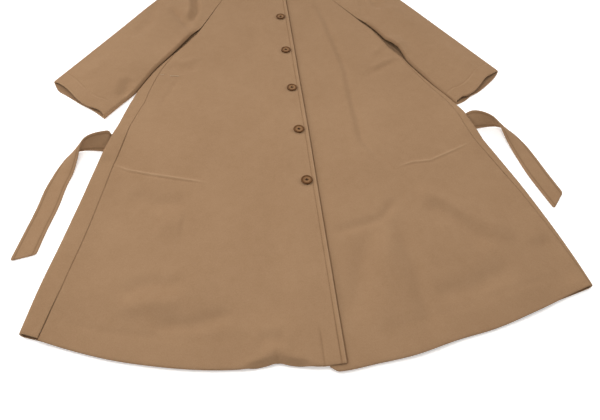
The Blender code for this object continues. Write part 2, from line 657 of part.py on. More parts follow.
def button(name, y, material, cutters):
    """A dished button with a raised rim and four holes, lying on the lap."""
    radius = BUTTON_DIAMETER / 2
    top = BUTTON_HEIGHT
    profile = (
        (0.0, top - BUTTON_DISH), (radius - BUTTON_RIM - 0.0006, top - BUTTON_DISH),
        (radius - BUTTON_RIM, top - 0.3 * BUTTON_DISH), (radius - 0.6 * BUTTON_RIM, top),
        (radius - 0.0006, top - 0.0003), (radius, top - 0.0010), (radius - 0.0008, 0.0006),
        (radius - 0.0024, 0.0), (0.0, 0.0),
    )
    mesh = bpy.data.meshes.new(name)
    work = bmesh.new()
    corners = [work.verts.new((x, 0.0, z)) for x, z in profile]
    for start, end in zip(corners, corners[1:]):
        work.edges.new((start, end))
    work.to_mesh(mesh)
    work.free()
    mesh.materials.append(material)
    disc = bpy.data.objects.new(name, mesh)
    coat.objects.link(disc)
    turn = disc.modifiers.new("Turned", "SCREW")
    turn.steps = BUTTON_SEGMENTS
    turn.render_steps = BUTTON_SEGMENTS
    turn.use_merge_vertices = True
    turn.merge_threshold = 0.00005
    turn.use_normal_calculate = True
    holes = disc.modifiers.new("Holes", "BOOLEAN")
    holes.operation = "DIFFERENCE"
    holes.solver = "EXACT"
    holes.object = cutters
    seat = FRONT_LEVEL + LAP_RISE + lift(BUTTON_X, y) + fold_rise(BUTTON_X, y, FRONT_FOLDS)
    disc.location = (BUTTON_X, y, seat + 0.0004)
    return disc


def hole_cutter():
    """Four pegs in a diamond that pierce every button, each button being cut in its own turn."""
    mesh = bpy.data.meshes.new("button_holes")
    work = bmesh.new()
    for number in range(BUTTON_COUNT):
        y = BUTTON_LOWEST_Y + number * BUTTON_PITCH
        for quarter in range(4):
            angle = quarter * math.pi / 2
            made = bmesh.ops.create_cone(
                work, cap_ends=True, segments=6, radius1=BUTTON_HOLE_RADIUS, radius2=BUTTON_HOLE_RADIUS,
                depth=0.04)
            shift = Vector((BUTTON_X + BUTTON_HOLE_OFFSET * math.cos(angle),
                            y + BUTTON_HOLE_OFFSET * math.sin(angle), 0.012))
            bmesh.ops.translate(work, verts=made["verts"], vec=shift)
    work.to_mesh(mesh)
    work.free()
    pegs = bpy.data.objects.new("button_holes", mesh)
    guides.objects.link(pegs)
    pegs.hide_render = True
    pegs.display_type = "WIRE"
    return pegs


def finish(name, colour, roughness):
    """A Principled material."""
    material = bpy.data.materials.new(name)
    material.use_nodes = True
    shader = material.node_tree.nodes["Principled BSDF"]
    shader.inputs["Base Color"].default_value = (*COLOURS[colour], 1.0)
    shader.inputs["Roughness"].default_value = roughness
    shader.inputs["Metallic"].default_value = 0.0
    return material


for thing in list(bpy.data.objects):
    bpy.data.objects.remove(thing)

coat = bpy.data.collections.new("balmacaan_coat")
guides = bpy.data.collections.new("cutters")
bpy.context.scene.collection.children.link(coat)
bpy.context.scene.collection.children.link(guides)

back_panel(finish("back_cloth", "wool", 0.92))
front_panel("front_right", SIDE_RIGHT, RAGLAN_FRONT_RIGHT, HEM_FRONT_RIGHT, NECK_FRONT_RIGHT,
            FRONT_EDGE, True, finish("front_right_cloth", "wool", 0.92))
front_panel("front_left", SIDE_LEFT, RAGLAN_FRONT_LEFT, HEM_FRONT_LEFT, NECK_FRONT_LEFT,
            UNDER_EDGE, False, finish("front_left_cloth", "wool", 0.92))
for on_right, side_name in ((True, "right"), (False, "left")):
    inner_seam = SLEEVE_INNER_RIGHT if on_right else SLEEVE_INNER_LEFT
    shoulder_seam = SHOULDER_RIGHT if on_right else SHOULDER_LEFT
    for is_front, half_name in ((True, "front"), (False, "back")):
        if is_front:
            raglan_seam = RAGLAN_FRONT_RIGHT if on_right else RAGLAN_FRONT_LEFT
            cuff_line = CUFF_FRONT_RIGHT if on_right else CUFF_FRONT_LEFT
        else:
            raglan_seam = RAGLAN_BACK_RIGHT if on_right else RAGLAN_BACK_LEFT
            cuff_line = CUFF_BACK_RIGHT if on_right else CUFF_BACK_LEFT
        ends = (shoulder_seam[-1], raglan_seam[-1])
        top_line = ends if on_right else ends[::-1]
        piece_name = f"sleeve_{side_name}_{half_name}"
        sleeve_half(piece_name, inner_seam, raglan_seam, shoulder_seam, cuff_line, top_line, on_right,
                    is_front, finish(piece_name + "_cloth", "wool", 0.92))
collar(finish("collar_cloth", "wool", 0.92))
tie_belt(finish("belt_cloth", "wool_shade", 0.92))
pocket_bag("pocket_right", POCKET_RIGHT, finish("pocket_right_cloth", "lining", 0.7))
pocket_bag("pocket_left", POCKET_LEFT, finish("pocket_left_cloth", "lining", 0.7))
peg_holes = hole_cutter()
for number in range(BUTTON_COUNT):
    button(f"button_{number + 1}", BUTTON_LOWEST_Y + number * BUTTON_PITCH,
           finish(f"button_{number + 1}_horn", "horn", 0.45), peg_holes)
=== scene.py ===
# %% [markdown]
# # A wool balmacaan coat, buttoned and laid flat
# The coat lies on its back on a pale floor, and its tie belt passes under it and out at both sides.
# Each piece of cloth is then made again as a fine thin shell on the form of its solid, because the
# solids are too coarse to show how wool lies.

import math

import bmesh
import bpy
import numpy as np
from mathutils import Matrix, Quaternion, Vector
from mathutils.bvhtree import BVHTree


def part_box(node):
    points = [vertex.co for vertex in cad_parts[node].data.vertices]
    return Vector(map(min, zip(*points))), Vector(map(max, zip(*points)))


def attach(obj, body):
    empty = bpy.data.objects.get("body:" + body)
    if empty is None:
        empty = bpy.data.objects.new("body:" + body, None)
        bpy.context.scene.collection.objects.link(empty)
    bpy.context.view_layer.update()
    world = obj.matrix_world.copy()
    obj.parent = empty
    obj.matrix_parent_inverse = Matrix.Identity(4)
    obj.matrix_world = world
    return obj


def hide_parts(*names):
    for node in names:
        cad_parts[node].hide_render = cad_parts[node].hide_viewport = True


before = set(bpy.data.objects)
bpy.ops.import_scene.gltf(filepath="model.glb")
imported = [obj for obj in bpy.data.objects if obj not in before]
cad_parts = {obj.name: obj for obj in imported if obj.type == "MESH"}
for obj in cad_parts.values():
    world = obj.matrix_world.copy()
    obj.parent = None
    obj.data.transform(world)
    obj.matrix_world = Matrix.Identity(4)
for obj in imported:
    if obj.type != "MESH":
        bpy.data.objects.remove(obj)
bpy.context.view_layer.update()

# %% [markdown]
# ## Sizes
# Metres throughout, but the long tables are written in millimetres, as on a paper pattern. +Y runs from
# the hem to the collar and +X to the wearer's left. The outlines are those of the cut pieces as they
# lie, so a sleeve can be moved without touching a front.

# %% Cloth
CLOTH = 0.0022
SEAM_GAP = 0.0003
FRONT_LEVEL = 0.0070
MIDDLE_X = 0.0120


def mm(table):
    """A number or a table in millimetres, turned to metres."""
    return round(table / 1000, 7) if isinstance(table, (int, float)) else tuple(mm(part) for part in table)


print("cloth", CLOTH, "gap at seams", SEAM_GAP)

# %% Outlines of the body, rows of (x, y) from the hem to the neck
SIDE_RIGHT = mm((
    (-415, -441.7), (-399, -365), (-380.2, -290.1), (-358.9, -200.6), (-342.5, -133), (-333.5, -105),
    (-322.5, -65), (-302.6, 8.7), (-291.9, 42.1), (-281.1, 71), (-251.5, 128), (-227, 164), (-191, 213),
    (-174.5, 240), (-158, 269),
))
SIDE_LEFT = mm((
    (422, -445), (415.4, -397.1), (406.7, -345.7), (395.8, -290.4), (382.4, -230.9), (364.3, -166.5),
    (346, -105), (336, -50), (326.5, -20.3), (303.2, 26.8), (287.5, 59.4), (267, 104.3), (255.8, 133.1),
    (239, 164), (231, 185), (211, 235), (185.3, 281),
))
RAGLAN_FRONT_RIGHT = mm(((-111, 375), (-62, 476)))
RAGLAN_FRONT_LEFT = mm(((144.6, 356.2), (86, 476)))
RAGLAN_BACK_RIGHT = mm(((-113, 385), (-60, 505)))
RAGLAN_BACK_LEFT = mm(((145, 370), (84, 505)))
FRONT_EDGE = mm(((31.4, -531.2), (34.5, 150), (34.5, 429)))
UNDER_EDGE = mm(((8, -533), (-1, -400), (-1, 429)))
HEM_FRONT_RIGHT = mm((
    (-415, -441.7), (-389.4, -453.4), (-301.1, -487.5), (-233.5, -506), (-166.7, -518.5), (-102.4, -524),
    (-78, -522.8), (-61.7, -520.4), (-43, -525.5), (-5.8, -531.2), (31.4, -531.2),
))
HEM_FRONT_LEFT = mm((
    (8, -533), (20.6, -539.9), (77, -533.7), (134.9, -526.4), (196.8, -510.5), (259.7, -497.4),
    (327.6, -476.6), (380, -457.5), (422, -445),
))
HEM_BACK = mm((
    (-415, -441.7), (-389.4, -451), (-301.1, -481), (-166.7, -509), (-61.7, -512), (20, -520),
    (77, -523.5), (134.9, -518), (196.8, -505), (259.7, -491.5), (327.6, -471.6), (422, -445),
))
NECK_FRONT_RIGHT = mm(((-62, 476), (-25, 440), (34.5, 429)))
NECK_FRONT_LEFT = mm(((-1, 429), (48, 440), (86, 476)))
NECK_BACK = mm(((-60, 505), (12, 498), (84, 505)))

# %% How far the back comes round each side fold onto the front: (y, wearer's right, wearer's left)
WRAP = mm((
    (-450, 30, 8), (-366, 36, 11), (-274, 36, 14), (-177, 34, 18), (-113, 32, 20), (-40, 27, 17),
    (30, 31, 13), (70, 26, 10), (112, 18, 7), (160, 9, 4), (200, 2, 2), (270, 0, 0),
))

# %% [markdown]
# ## How the wool lies
# Pressed wool keeps soft troughs and ridges, a few millimetres deep and a few centimetres wide. They
# could come from a cloth simulation, but a buttoned coat that has been smoothed by hand has folds in
# known places, so each one is listed: its line, half its width, and its height above or below
# the cloth around it. Narrow ones are the prints of what is sewn inside: the hem turned up, the facing
# and the pocket bags. Along the pocket prints the colour is painted paler as a highlight, and along the
# facing print darker as shade.

# %% Folds that the solids already have: (line, half width, rise)
LARGE_FOLDS = mm((
    (((-61.7, -540), (-64, -485)), 30, 6),
    (((135, -150), (305, -430)), 50, 4),
    (((108, -180), (145, -500)), 45, 3),
    (((-330, -390), (-190, -400)), 40, 3),
))

# %% Soft folds and prints of the wearer's right front
POCKET_RIGHT = mm(((-315, -129), (-286.8, -144.5), (-249, -157.3), (-198, -171.2), (-147.5, -185)))
CREASES_RIGHT = mm((
    (((-290, -392), (-240, -378), (-180, -386)), 13, -3.4),
    (((-290, -420), (-237, -412), (-188, -417)), 13, 2.6),
    (((-240, -448), (-180, -452), (-110, -436)), 13, -3.4),
    (((-285, -196), (-240, -222), (-175, -226)), 16, -3),
    (((-235, -262), (-190, -268)), 22, 2.8),
    (((-225, 160), (-195, 148), (-160, 158)), 8, 2.4),
    (((-232, 142), (-200, 128), (-165, 126)), 8, -2.2),
    (((-205, 98), (-222, 55), (-240, 12)), 6, -1.2),
    (((-310, -135.5), (-286.8, -149), (-249, -161.8), (-198, -175.7), (-160, -186.5)), 2.4, -1),
    (((-385, -418), (-332, -438), (-290, -453), (-180, -476), (-55, -484)), 4, -0.9),
    (((1.3, -462), (1.2, -500), (0.9, -560)), 1.7, -0.7),
    (((-118, -521.5), (-82.3, -513.5), (-61.9, -503), (-43.3, -515.7), (-6, -526)), 7, 2.2),
    (((-108, -527.5), (-61.7, -522.5), (-14, -532.5)), 8, -6.4),
    (((-61.7, -540), (-61.8, -502)), 3, -1.6),
    (((-88, -487), (-45, -485)), 11, -2.8),
)) + ((POCKET_RIGHT, 0.0020, 0.0014),)

# %% Soft folds and prints of the wearer's left front
POCKET_LEFT = mm(((174, -181.6), (207.2, -170.1), (240.4, -168.2), (327.1, -130.4)))
CREASES_LEFT = mm((
    (((88, 380), (105, 263), (121, 99), (118, 6), (117, -112), (138, -160)), 14, 2.6),
    (((100, 380), (117, 263), (133, 99), (130, 6), (129, -112), (151, -157), (186, -210)), 9, -3.4),
    (((200, -222), (270, -288), (335, -352)), 16, 4.6),
    (((206, -258), (250, -312), (290, -368)), 16, -5),
    (((126, -285), (85, -370), (50, -470)), 18, -3.8),
    (((148, -285), (163, -380), (160, -515)), 16, -4),
    (((132, -300), (108, -400), (98, -500)), 22, 3.4),
    (((38.5, -310.8), (83.8, -301.1), (130.6, -289.1), (165, -245)), 9, -2.8),
    (((165, -440), (240, -430), (320, -400)), 18, -3.4),
    (((372, -345), (392, -400), (405, -440)), 22, -4),
    (((260, 133), (218, 118.6), (184, 98.4)), 6, 3.4),
    (((245, 113), (216.1, 105.5), (189.6, 87.8), (160, 69)), 9, -2.6),
    (((182, 268), (198, 234), (222, 190)), 10, -3),
    (((236, 182), (214, 162), (194, 142)), 7, 2.6),
    (((174, -186.6), (207.2, -175.1), (240.4, -173.2), (327.1, -135.4)), 2.8, -0.6),
    (((60, -495), (160, -474), (270, -448), (395, -416)), 4, -0.7),
)) + ((POCKET_LEFT, 0.0026, 0.0010),)

# %% Painted highlight (above 0) and painted shade (below 0) along a line: (line, half width, amount)
FACING = mm(((1.3, -470), (1.2, -500), (0.9, -560)))
PAINTED_LINES_RIGHT = ((POCKET_RIGHT, 0.0015, 0.80), (FACING, 0.0011, -0.25))
PAINTED_LINES_LEFT = ((POCKET_LEFT, 0.0015, 0.60),)

# %% Soft folds of the sleeves, the wearer's right and left
CREASES_SLEEVES = mm((
    (((-172, 400), (-170, 332), (-183, 280)), 7, -6.2),
    (((-187, 404), (-185, 335), (-198, 288)), 8, 4.2),
    (((-226, 350), (-201, 303), (-182, 258)), 9, -5),
    (((-258, 382), (-270, 292), (-300, 230)), 14, -3.2),
    (((-298, 98), (-309, 45)), 10, -3.4),
    (((-316, 104), (-330, 50)), 10, 2),
    (((-345, 175), (-395, 100)), 16, 2),
    (((236, 370), (243, 300)), 11, -5),
    (((216, 372), (206, 312), (214, 262)), 10, -2.6),
    (((262, 318), (300, 225)), 16, 2),
    (((296, 135), (342, 45)), 15, -2),
    (((345, 160), (398, 75)), 16, 2),
))
print("hand-placed folds:", len(CREASES_RIGHT) + len(CREASES_LEFT) + len(CREASES_SLEEVES))

# %% [markdown]
# ## Helpers
# Every outline is a short table, and these functions read between its rows. They take whole arrays, so
# a piece with thousands of points is worked out at once.


# %% Reading between rows
def smooth(low, high, value):
    """0 below low, 1 above high, and a smooth step between them."""
    share = np.clip((value - low) / (high - low), 0.0, 1.0)
    return share * share * (3.0 - 2.0 * share)


def beside(distance, place, half_width):
    """1 at a distance from an edge or a seam, fading on both sides of it."""
    return np.exp(-((distance - place) / half_width) ** 2)


def from_table(rows, key, column):
    """One column of a table whose first column rises, straight between its rows."""
    return np.interp(key, [row[0] for row in rows], [row[column] for row in rows])


def hermite(values, slopes_in, slopes_out, index, t):
    """A smooth run between two neighbouring values, t going from 0 to 1."""
    return (values[index] * (2 * t**3 - 3 * t**2 + 1) + slopes_out[index] * (t**3 - 2 * t**2 + t)
            + values[index + 1] * (3 * t**2 - 2 * t**3) + slopes_in[index] * (t**3 - t**2))


def line_by(points, key, value):
    """A smooth line through the points that gives one coordinate for each value of the other."""
    rows = np.array(sorted((point[key], point[value]) for point in points))
    last = len(rows) - 1
    low, high = np.maximum(np.arange(last + 1) - 1, 0), np.minimum(np.arange(last + 1) + 1, last)
    slope = (rows[high, 1] - rows[low, 1]) / (rows[high, 0] - rows[low, 0])
    step = np.diff(rows[:, 0])

    def at(where):
        index = np.clip(np.searchsorted(rows[:, 0], where) - 1, 0, last - 1)
        t = np.clip((where - rows[index, 0]) / step[index], 0.0, 1.0)
        return hermite(rows[:, 1], slope[1:] * step, slope[:-1] * step, index, t)

    return at


def curve_through(points, by_station=False):
    """A smooth curve through the points, by share of its length or by the number of the point."""
    points = np.array(points, float)
    last = len(points) - 1
    step = np.linalg.norm(np.diff(points, axis=0), axis=1)
    runs = np.arange(last + 1.0) if by_station else np.concatenate(([0.0], np.cumsum(step)))
    before = np.vstack((points[0] if by_station else 2 * points[0] - points[1], points[:-2]))
    after = np.vstack((points[2:], points[-1] if by_station else 2 * points[-1] - points[-2]))
    reach_in = step + np.linalg.norm(points[:-1] - before, axis=1)
    reach_out = step + np.linalg.norm(after - points[1:], axis=1)
    slope_out = (points[1:] - before) * (step / reach_in)[:, None]
    slope_in = (after - points[:-1]) * (step / reach_out)[:, None]

    def at(share):
        target = np.asarray(share, float) * (1.0 if by_station else runs[-1])
        index = np.clip(np.searchsorted(runs, target) - 1, 0, last - 1)
        t = np.clip((target - runs[index]) / (runs[index + 1] - runs[index]), 0.0, 1.0)[..., None]
        return hermite(points, slope_in, slope_out, index, t)

    return at


# %% Folds and unevenness
def along_lines(x, y, rows, tapered=True):
    """Height that a table of soft folds adds at each place, fading out at the ends of each line."""
    total = np.zeros_like(x)
    for line, half_width, rise in rows:
        corners = np.array(line)
        lengths = np.linalg.norm(np.diff(corners, axis=0), axis=1)
        runs = np.concatenate(([0.0], np.cumsum(lengths)))
        nearest, where = np.full_like(x, 9.0), np.zeros_like(x)
        for (x0, y0), (x1, y1), length, run in zip(corners, corners[1:], lengths, runs):
            along = np.clip(((x - x0) * (x1 - x0) + (y - y0) * (y1 - y0)) / length**2, 0.0, 1.0)
            gap = np.hypot(x - x0 - along * (x1 - x0), y - y0 - along * (y1 - y0))
            closer = gap < nearest
            nearest = np.where(closer, gap, nearest)
            where = np.where(closer, (run + along * length) / runs[-1], where)
        fade = smooth(-0.02, 0.22, where) * (1 - smooth(0.78, 1.02, where)) if tapered else 1.0
        total += rise * fade * beside(nearest, 0.0, half_width)
    return total


def ripple(x, y, size, seed):
    """A gentle unevenness from a few crossed waves, between about -1 and 1."""
    rng = np.random.default_rng(seed)
    total = np.zeros_like(x)
    for _ in range(7):
        angle, phase = rng.uniform(0, math.pi), rng.uniform(0, 2 * math.pi)
        length = size * rng.uniform(0.6, 1.6)
        total += np.sin((x * math.cos(angle) + y * math.sin(angle)) * 2 * math.pi / length + phase)
    return total / 3.5


# %% How high each layer lies
BELT_CLOTH, BELT_WIDTH, BELT_Y = 0.0026, 0.036, -0.078
BELT_LIFT, BELT_RAMP, TOP_RAMP = 0.0034, (0.019, 0.044), (0.010, 0.150)
SIDE_LIFT, SIDE_AT_BELT = 0.0075, (0.3262, 0.3410)
SIDE_LIFT_REACH, SIDE_LIFT_LENGTH = (-0.010, 0.070), (0.018, 0.070)
COLLAR_LIFT, COLLAR_RAMP = 0.0034, (0.425, 0.452)
FOLD_RADIUS_HEM, FOLD_RADIUS = 0.0060, 0.0046
FOLD_EASE = (0.010, 0.110)


def lift(x, y, ramp=BELT_RAMP):
    """How far the belt and the fall of the collar under the coat raise what lies on them."""
    beside_belt = np.abs(y - BELT_Y)
    under_belt = BELT_LIFT * (1 - smooth(*ramp, beside_belt))
    side_x = np.where(x < MIDDLE_X, *SIDE_AT_BELT)
    bulge = (1 - smooth(*SIDE_LIFT_REACH, side_x - np.abs(x))) * (1 - smooth(*SIDE_LIFT_LENGTH, beside_belt))
    return np.maximum(under_belt, SIDE_LIFT * bulge) + COLLAR_LIFT * smooth(*COLLAR_RAMP, y)


def fold_radius(y):
    """Outer radius of the side folds, widest at the hem."""
    return FOLD_RADIUS_HEM + (FOLD_RADIUS - FOLD_RADIUS_HEM) * smooth(-0.45, -0.15, y)


def folded(distance, radius, closed):
    """Plan distance and drop of cloth that turns over a fold, for a length of cloth from its crest."""
    quarter = radius * math.pi / 2
    angle = np.minimum(distance / radius, math.pi / 2)
    plan = radius * (1 - np.cos(angle)) + np.maximum(distance - quarter, 0.0)
    plan = plan + (quarter - radius) * smooth(*FOLD_EASE, distance)
    return distance + closed * (plan - distance), closed * (radius * (1 - np.sin(angle)))


# %% [markdown]
# ## Wool
# The coat is a brushed, milled wool: a short nap hides the weave, so it looks matt and even from afar,
# with a faint mottle where the nap lies differently and a soft sheen at grazing angles. A picture of
# cloth would tile and blur, so the finish is worked out from noise in the coat's own coordinates: a
# broad mottle, a finer melange of lighter and darker fibres, a slight diagonal rib, and a nap bump.


# %% Shader expressions
class Value:
    """Wraps a socket, so that shader maths is written as an expression."""

    def __init__(self, tree, socket):
        self.tree, self.socket = tree, socket

    def maths(self, operation, *others):
        node = self.tree.nodes.new("ShaderNodeMath")
        node.operation = operation
        for slot_in, value in zip(node.inputs, (self, *others)):
            feed(self.tree, slot_in, value)
        return Value(self.tree, node.outputs[0])

    def __add__(self, other):
        return self.maths("ADD", other)

    def __sub__(self, other):
        return self.maths("SUBTRACT", other)

    def __rsub__(self, other):
        return (self * -1.0) + other

    def __mul__(self, other):
        return self.maths("MULTIPLY", other)

    __radd__ = __add__
    __rmul__ = __mul__


def feed(tree, socket, value):
    """Sets a socket to a number or a colour, or links a value to it."""
    if isinstance(value, Value):
        tree.links.new(value.socket, socket)
    else:
        socket.default_value = value


def node_of(tree, kind, settings=None, sockets=None, output=0):
    """Any other node: its type, its settings, and the values or links of its sockets."""
    node = tree.nodes.new(kind)
    for name, value in (settings or {}).items():
        setattr(node, name, value)
    for name, value in (sockets or {}).items():
        feed(tree, node.inputs[name], value)
    return Value(tree, node.outputs[output])


# %% Materials
def new_material(name):
    """A material with its Principled shader, and the place coordinates of the piece."""
    material = bpy.data.materials.new(name)
    material.use_nodes = True
    tree = material.node_tree
    return material, tree, tree.nodes["Principled BSDF"], node_of(tree, "ShaderNodeTexCoord", output="Object")


def noise(tree, place, scale, detail=2.0, roughness=0.5, stretch=(1.0, 1.0, 1.0)):
    """Noise in the piece's own coordinates, drawn out along an axis where stretch says so."""
    moved = node_of(tree, "ShaderNodeMapping", sockets={"Vector": place, "Scale": stretch})
    return node_of(tree, "ShaderNodeTexNoise",
                   sockets={"Vector": moved, "Scale": scale, "Detail": detail, "Roughness": roughness})


def mixed(tree, share, first, second):
    """A colour between two colours, or a little past the second one."""
    return node_of(tree, "ShaderNodeMix", {"data_type": "RGBA", "clamp_factor": False},
                   {0: share, 6: first, 7: second}, output=2)


def set_shader(tree, shader, uniform, colour, bump):
    """Sets what is uniform on the shader's own sockets, and links its colour and its bump."""
    for name, value in uniform.items():
        shader.inputs[name].default_value = value
    feed(tree, shader.inputs["Base Color"], colour)
    strength, distance, height = bump
    dented = node_of(tree, "ShaderNodeBump",
                     sockets={"Strength": strength, "Distance": distance, "Height": height})
    feed(tree, shader.inputs["Normal"], dented)


# %% The wool finish
WOOL_DEEP = (0.245, 0.139, 0.070, 1.0)
WOOL_LIGHT = (0.360, 0.223, 0.125, 1.0)
# the dark brown of painted shade beside the lap's edge, along seams and along stitching
WOOL_PAINTED_SHADE = (0.080, 0.040, 0.018, 1.0)
FIBRE_SCALE = 1500.0
RIB_SPACING = 0.0016
RIB_TURN = math.radians(63)


def wool(name):
    """Brushed wool, on which one attribute paints highlights above 0 and shade below 0."""
    material, tree, shader, place = new_material(name)
    mottle = noise(tree, place, 9.0, detail=3.0)
    patches = noise(tree, place, 70.0, detail=3.0, roughness=0.6)
    fibres = noise(tree, place, FIBRE_SCALE, detail=2.0, stretch=(1.0, 0.35, 1.0))
    specks = noise(tree, place, 420.0, detail=2.0, roughness=0.7)
    painted_light_and_shade = node_of(tree, "ShaderNodeAttribute", {"attribute_name": "painted_light_and_shade"}, output="Fac")
    broad = (mottle - 0.5) * 0.42 + (patches - 0.5) * 0.35
    share = broad + (fibres - 0.5) * 0.55 + (specks - 0.5) * 0.5 + 0.55
    share = (share + painted_light_and_shade).maths("MINIMUM", 1.2).maths("MAXIMUM", 0.0)
    # painted shade: below 0 the colour goes towards this dark brown
    press_and_painted_shade = (painted_light_and_shade * -0.6).maths("MAXIMUM", 0.0).maths("MINIMUM", 0.8)
    turned = node_of(tree, "ShaderNodeMapping", sockets={"Vector": place, "Rotation": (0.0, 0.0, RIB_TURN),
                                                         "Scale": (1.0 / RIB_SPACING,) * 3})
    rib = node_of(tree, "ShaderNodeTexWave", {"wave_type": "BANDS", "bands_direction": "X"},
                  {"Vector": turned, "Scale": 0.32, "Distortion": 2.5, "Detail": 1.0}, output=1)
    feed(tree, shader.inputs["Roughness"], (specks - 0.5) * 0.12 + 0.92)
    set_shader(tree, shader, {"Sheen Weight": 0.06, "Sheen Roughness": 0.45,
                              "Sheen Tint": (0.95, 0.76, 0.55, 1.0), "Specular IOR Level": 0.12},
               mixed(tree, press_and_painted_shade, mixed(tree, share, WOOL_DEEP, WOOL_LIGHT), WOOL_PAINTED_SHADE),
               (0.35, 0.0006, fibres * 0.55 + specks * 0.6 + rib * 0.12))
    return material


wool_cloth = wool("camel_wool")
print("wool finish:", wool_cloth.name)

# %% [markdown]
# ## Cloth shells
# A cut piece of wool starts as an open grid from `create_grid`. Each corner of the grid goes to its
# place on the outside of the cloth, and a Solidify modifier gives the cloth its thickness inwards. The
# belt alone grows to both sides. A closed block could be carved instead, but an open grid keeps its
# columns along the cloth, close together where it turns: at seams, at folds and along edges.


# %% Grids and shells
def grid_of(name, columns, rows):
    """An open grid mesh, with the column and row numbers of its points."""
    mesh = bpy.data.meshes.new(name)
    work = bmesh.new()
    bmesh.ops.create_grid(work, x_segments=columns, y_segments=rows, size=1.0)
    work.to_mesh(mesh)
    work.free()
    spots = np.empty(len(mesh.vertices) * 3)
    mesh.vertices.foreach_get("co", spots)
    share = (spots.reshape(-1, 3) + 1) / 2
    return mesh, np.rint(share[:, 0] * columns).astype(int), np.rint(share[:, 1] * rows).astype(int)


def shell(mesh, spots, thickness, weight=None, thinnest=CLOTH, outside_up=True, offset=-1.0, painted_light_and_shade=None):
    """The finished piece: the grid at its places, as thick as its weight says from thinnest up."""
    mesh.vertices.foreach_set("co", np.ascontiguousarray(spots, float).ravel())
    # painted highlights and painted shade, kept for the wool's colour
    if painted_light_and_shade is not None:
        painted_values = mesh.attributes.new("painted_light_and_shade", "FLOAT", "POINT")
        painted_values.data.foreach_set("value", np.ascontiguousarray(painted_light_and_shade, dtype=np.float32))
    if not outside_up:
        mesh.flip_normals()
    mesh.polygons.foreach_set("use_smooth", [True] * len(mesh.polygons))
    mesh.materials.append(wool_cloth)
    mesh.update()
    piece = bpy.data.objects.new(mesh.name, mesh)
    bpy.context.scene.collection.objects.link(piece)
    wall = piece.modifiers.new("Thickness", "SOLIDIFY")
    wall.thickness, wall.offset, wall.use_quality_normals = thickness, offset, True
    if weight is not None:
        group = piece.vertex_groups.new(name="thick")
        for level in range(11):
            members = np.nonzero(np.rint(weight * 10) == level)[0]
            if len(members):
                group.add(members.tolist(), level / 10, "REPLACE")
        wall.vertex_group, wall.thickness_vertex_group = "thick", thinnest / thickness
    area = sum(face.area for face in mesh.polygons)
    print(mesh.name, "faces", len(mesh.polygons), "area of one side", round(area, 4))
    return piece


def spaced(*runs):
    """Distances that go through runs of (start, end, count), the last end included."""
    made = [np.linspace(start, end, count, endpoint=False) for start, end, count in runs]
    return np.concatenate(made + [[runs[-1][1]]])


# %% [markdown]
# ## Fronts
# Each front is one panel from its side seam to its front edge. The wearer's right front laps over the
# left one and is stitched 7 mm inside its edge, and it presses a line into the one below. Both have a
# turned-up hem, so their edges are thicker. A flat panel could be draped by a simulation, but it is
# known where every edge came to lie, so the rows of a grid run from the side fold to the front edge.

# %% Rows of a panel: (y at the side, y at the middle), then shares of the way from armpit to neck
LOWER_ROWS = mm((
    (-442, -530), (-400, -460), (-345, -380), (-275, -290), (-200, -200), (-150, -150), (-122, -122),
    (-97, -97), (-59, -59), (-34, -34), (5, 5), (50, 45), (100, 85), (150, 125), (200, 165), (230, 195),
    (255, 215), (275, 230),
))
UPPER_ROWS = (0.12, 0.30, 0.52, 0.74, 0.84, 1.0)


def panel_rows(side, side_top, middle_top, middle_bottom):
    """Rows of (y at the side, y at the middle, share of the way from the armpit to the neck)."""
    highest = LOWER_ROWS[-1][0]
    moved = side[-1][1] - highest
    rows = [(y + moved * float(smooth(0.15, highest, y)), middle, 0.0) for y, middle in LOWER_ROWS]
    rows[0] = (side[0][1], middle_bottom, 0.0)
    start = rows[-1]
    for number, share in enumerate(UPPER_ROWS):
        rows.append((start[0] + share * (side_top - start[0]), start[1] + share * (middle_top - start[1]),
                     (number + 1) / len(UPPER_ROWS)))
    return rows


def bow(line, ends, u):
    """How far an end line stands out from the straight line between its ends."""
    start, end = ends
    return line(start * (1 - u) + end * u) - (line(start) * (1 - u) + line(end) * u)


def bowed(y, u, side_y, rows, hem, hem_ends, neck, neck_ends):
    """The rows of a panel, bent to its hem below and to its neck above."""
    middle_y, upper = from_table(rows, side_y, 1), from_table(rows, side_y, 2)
    hem_share = np.where(middle_y < 0, (side_y - middle_y) / (rows[0][0] - rows[0][1]), 0.0)
    y = y + np.maximum(hem_share, 0.0) * bow(line_by(hem, 0, 1), hem_ends, u)
    return y + upper**1.5 * bow(line_by(neck, 0, 1), neck_ends, u)


# %% Edges and levels of a panel
ARMPIT_RUN = 0.045
FOLD_SLACK = 0.070
FOLDS_FROM = (0.0, 0.030)
EDGE_DROOP, EDGE_ROUND = 0.0007, 0.0013
HEM_TURNED = (0.002, 0.042)


def closed_below(y, armpit_y):
    """1 where the side is a closed fold, 0 above the armpit where the sleeve is sewn on."""
    return 1 - smooth(armpit_y - ARMPIT_RUN, armpit_y, y)


def top_level(side_y, closed, from_fold):
    """Height of the cloth on top, falling from the crest of the side fold to the level of the fronts."""
    crest = 2 * fold_radius(side_y)
    return FRONT_LEVEL + closed * (crest - FRONT_LEVEL) * (1 - smooth(0.0, FOLD_SLACK, from_fold))


def rounded(distance):
    """How far the outside of the cloth turns down at a cut or folded edge."""
    return EDGE_DROOP * beside(distance, 0.0, EDGE_ROUND)


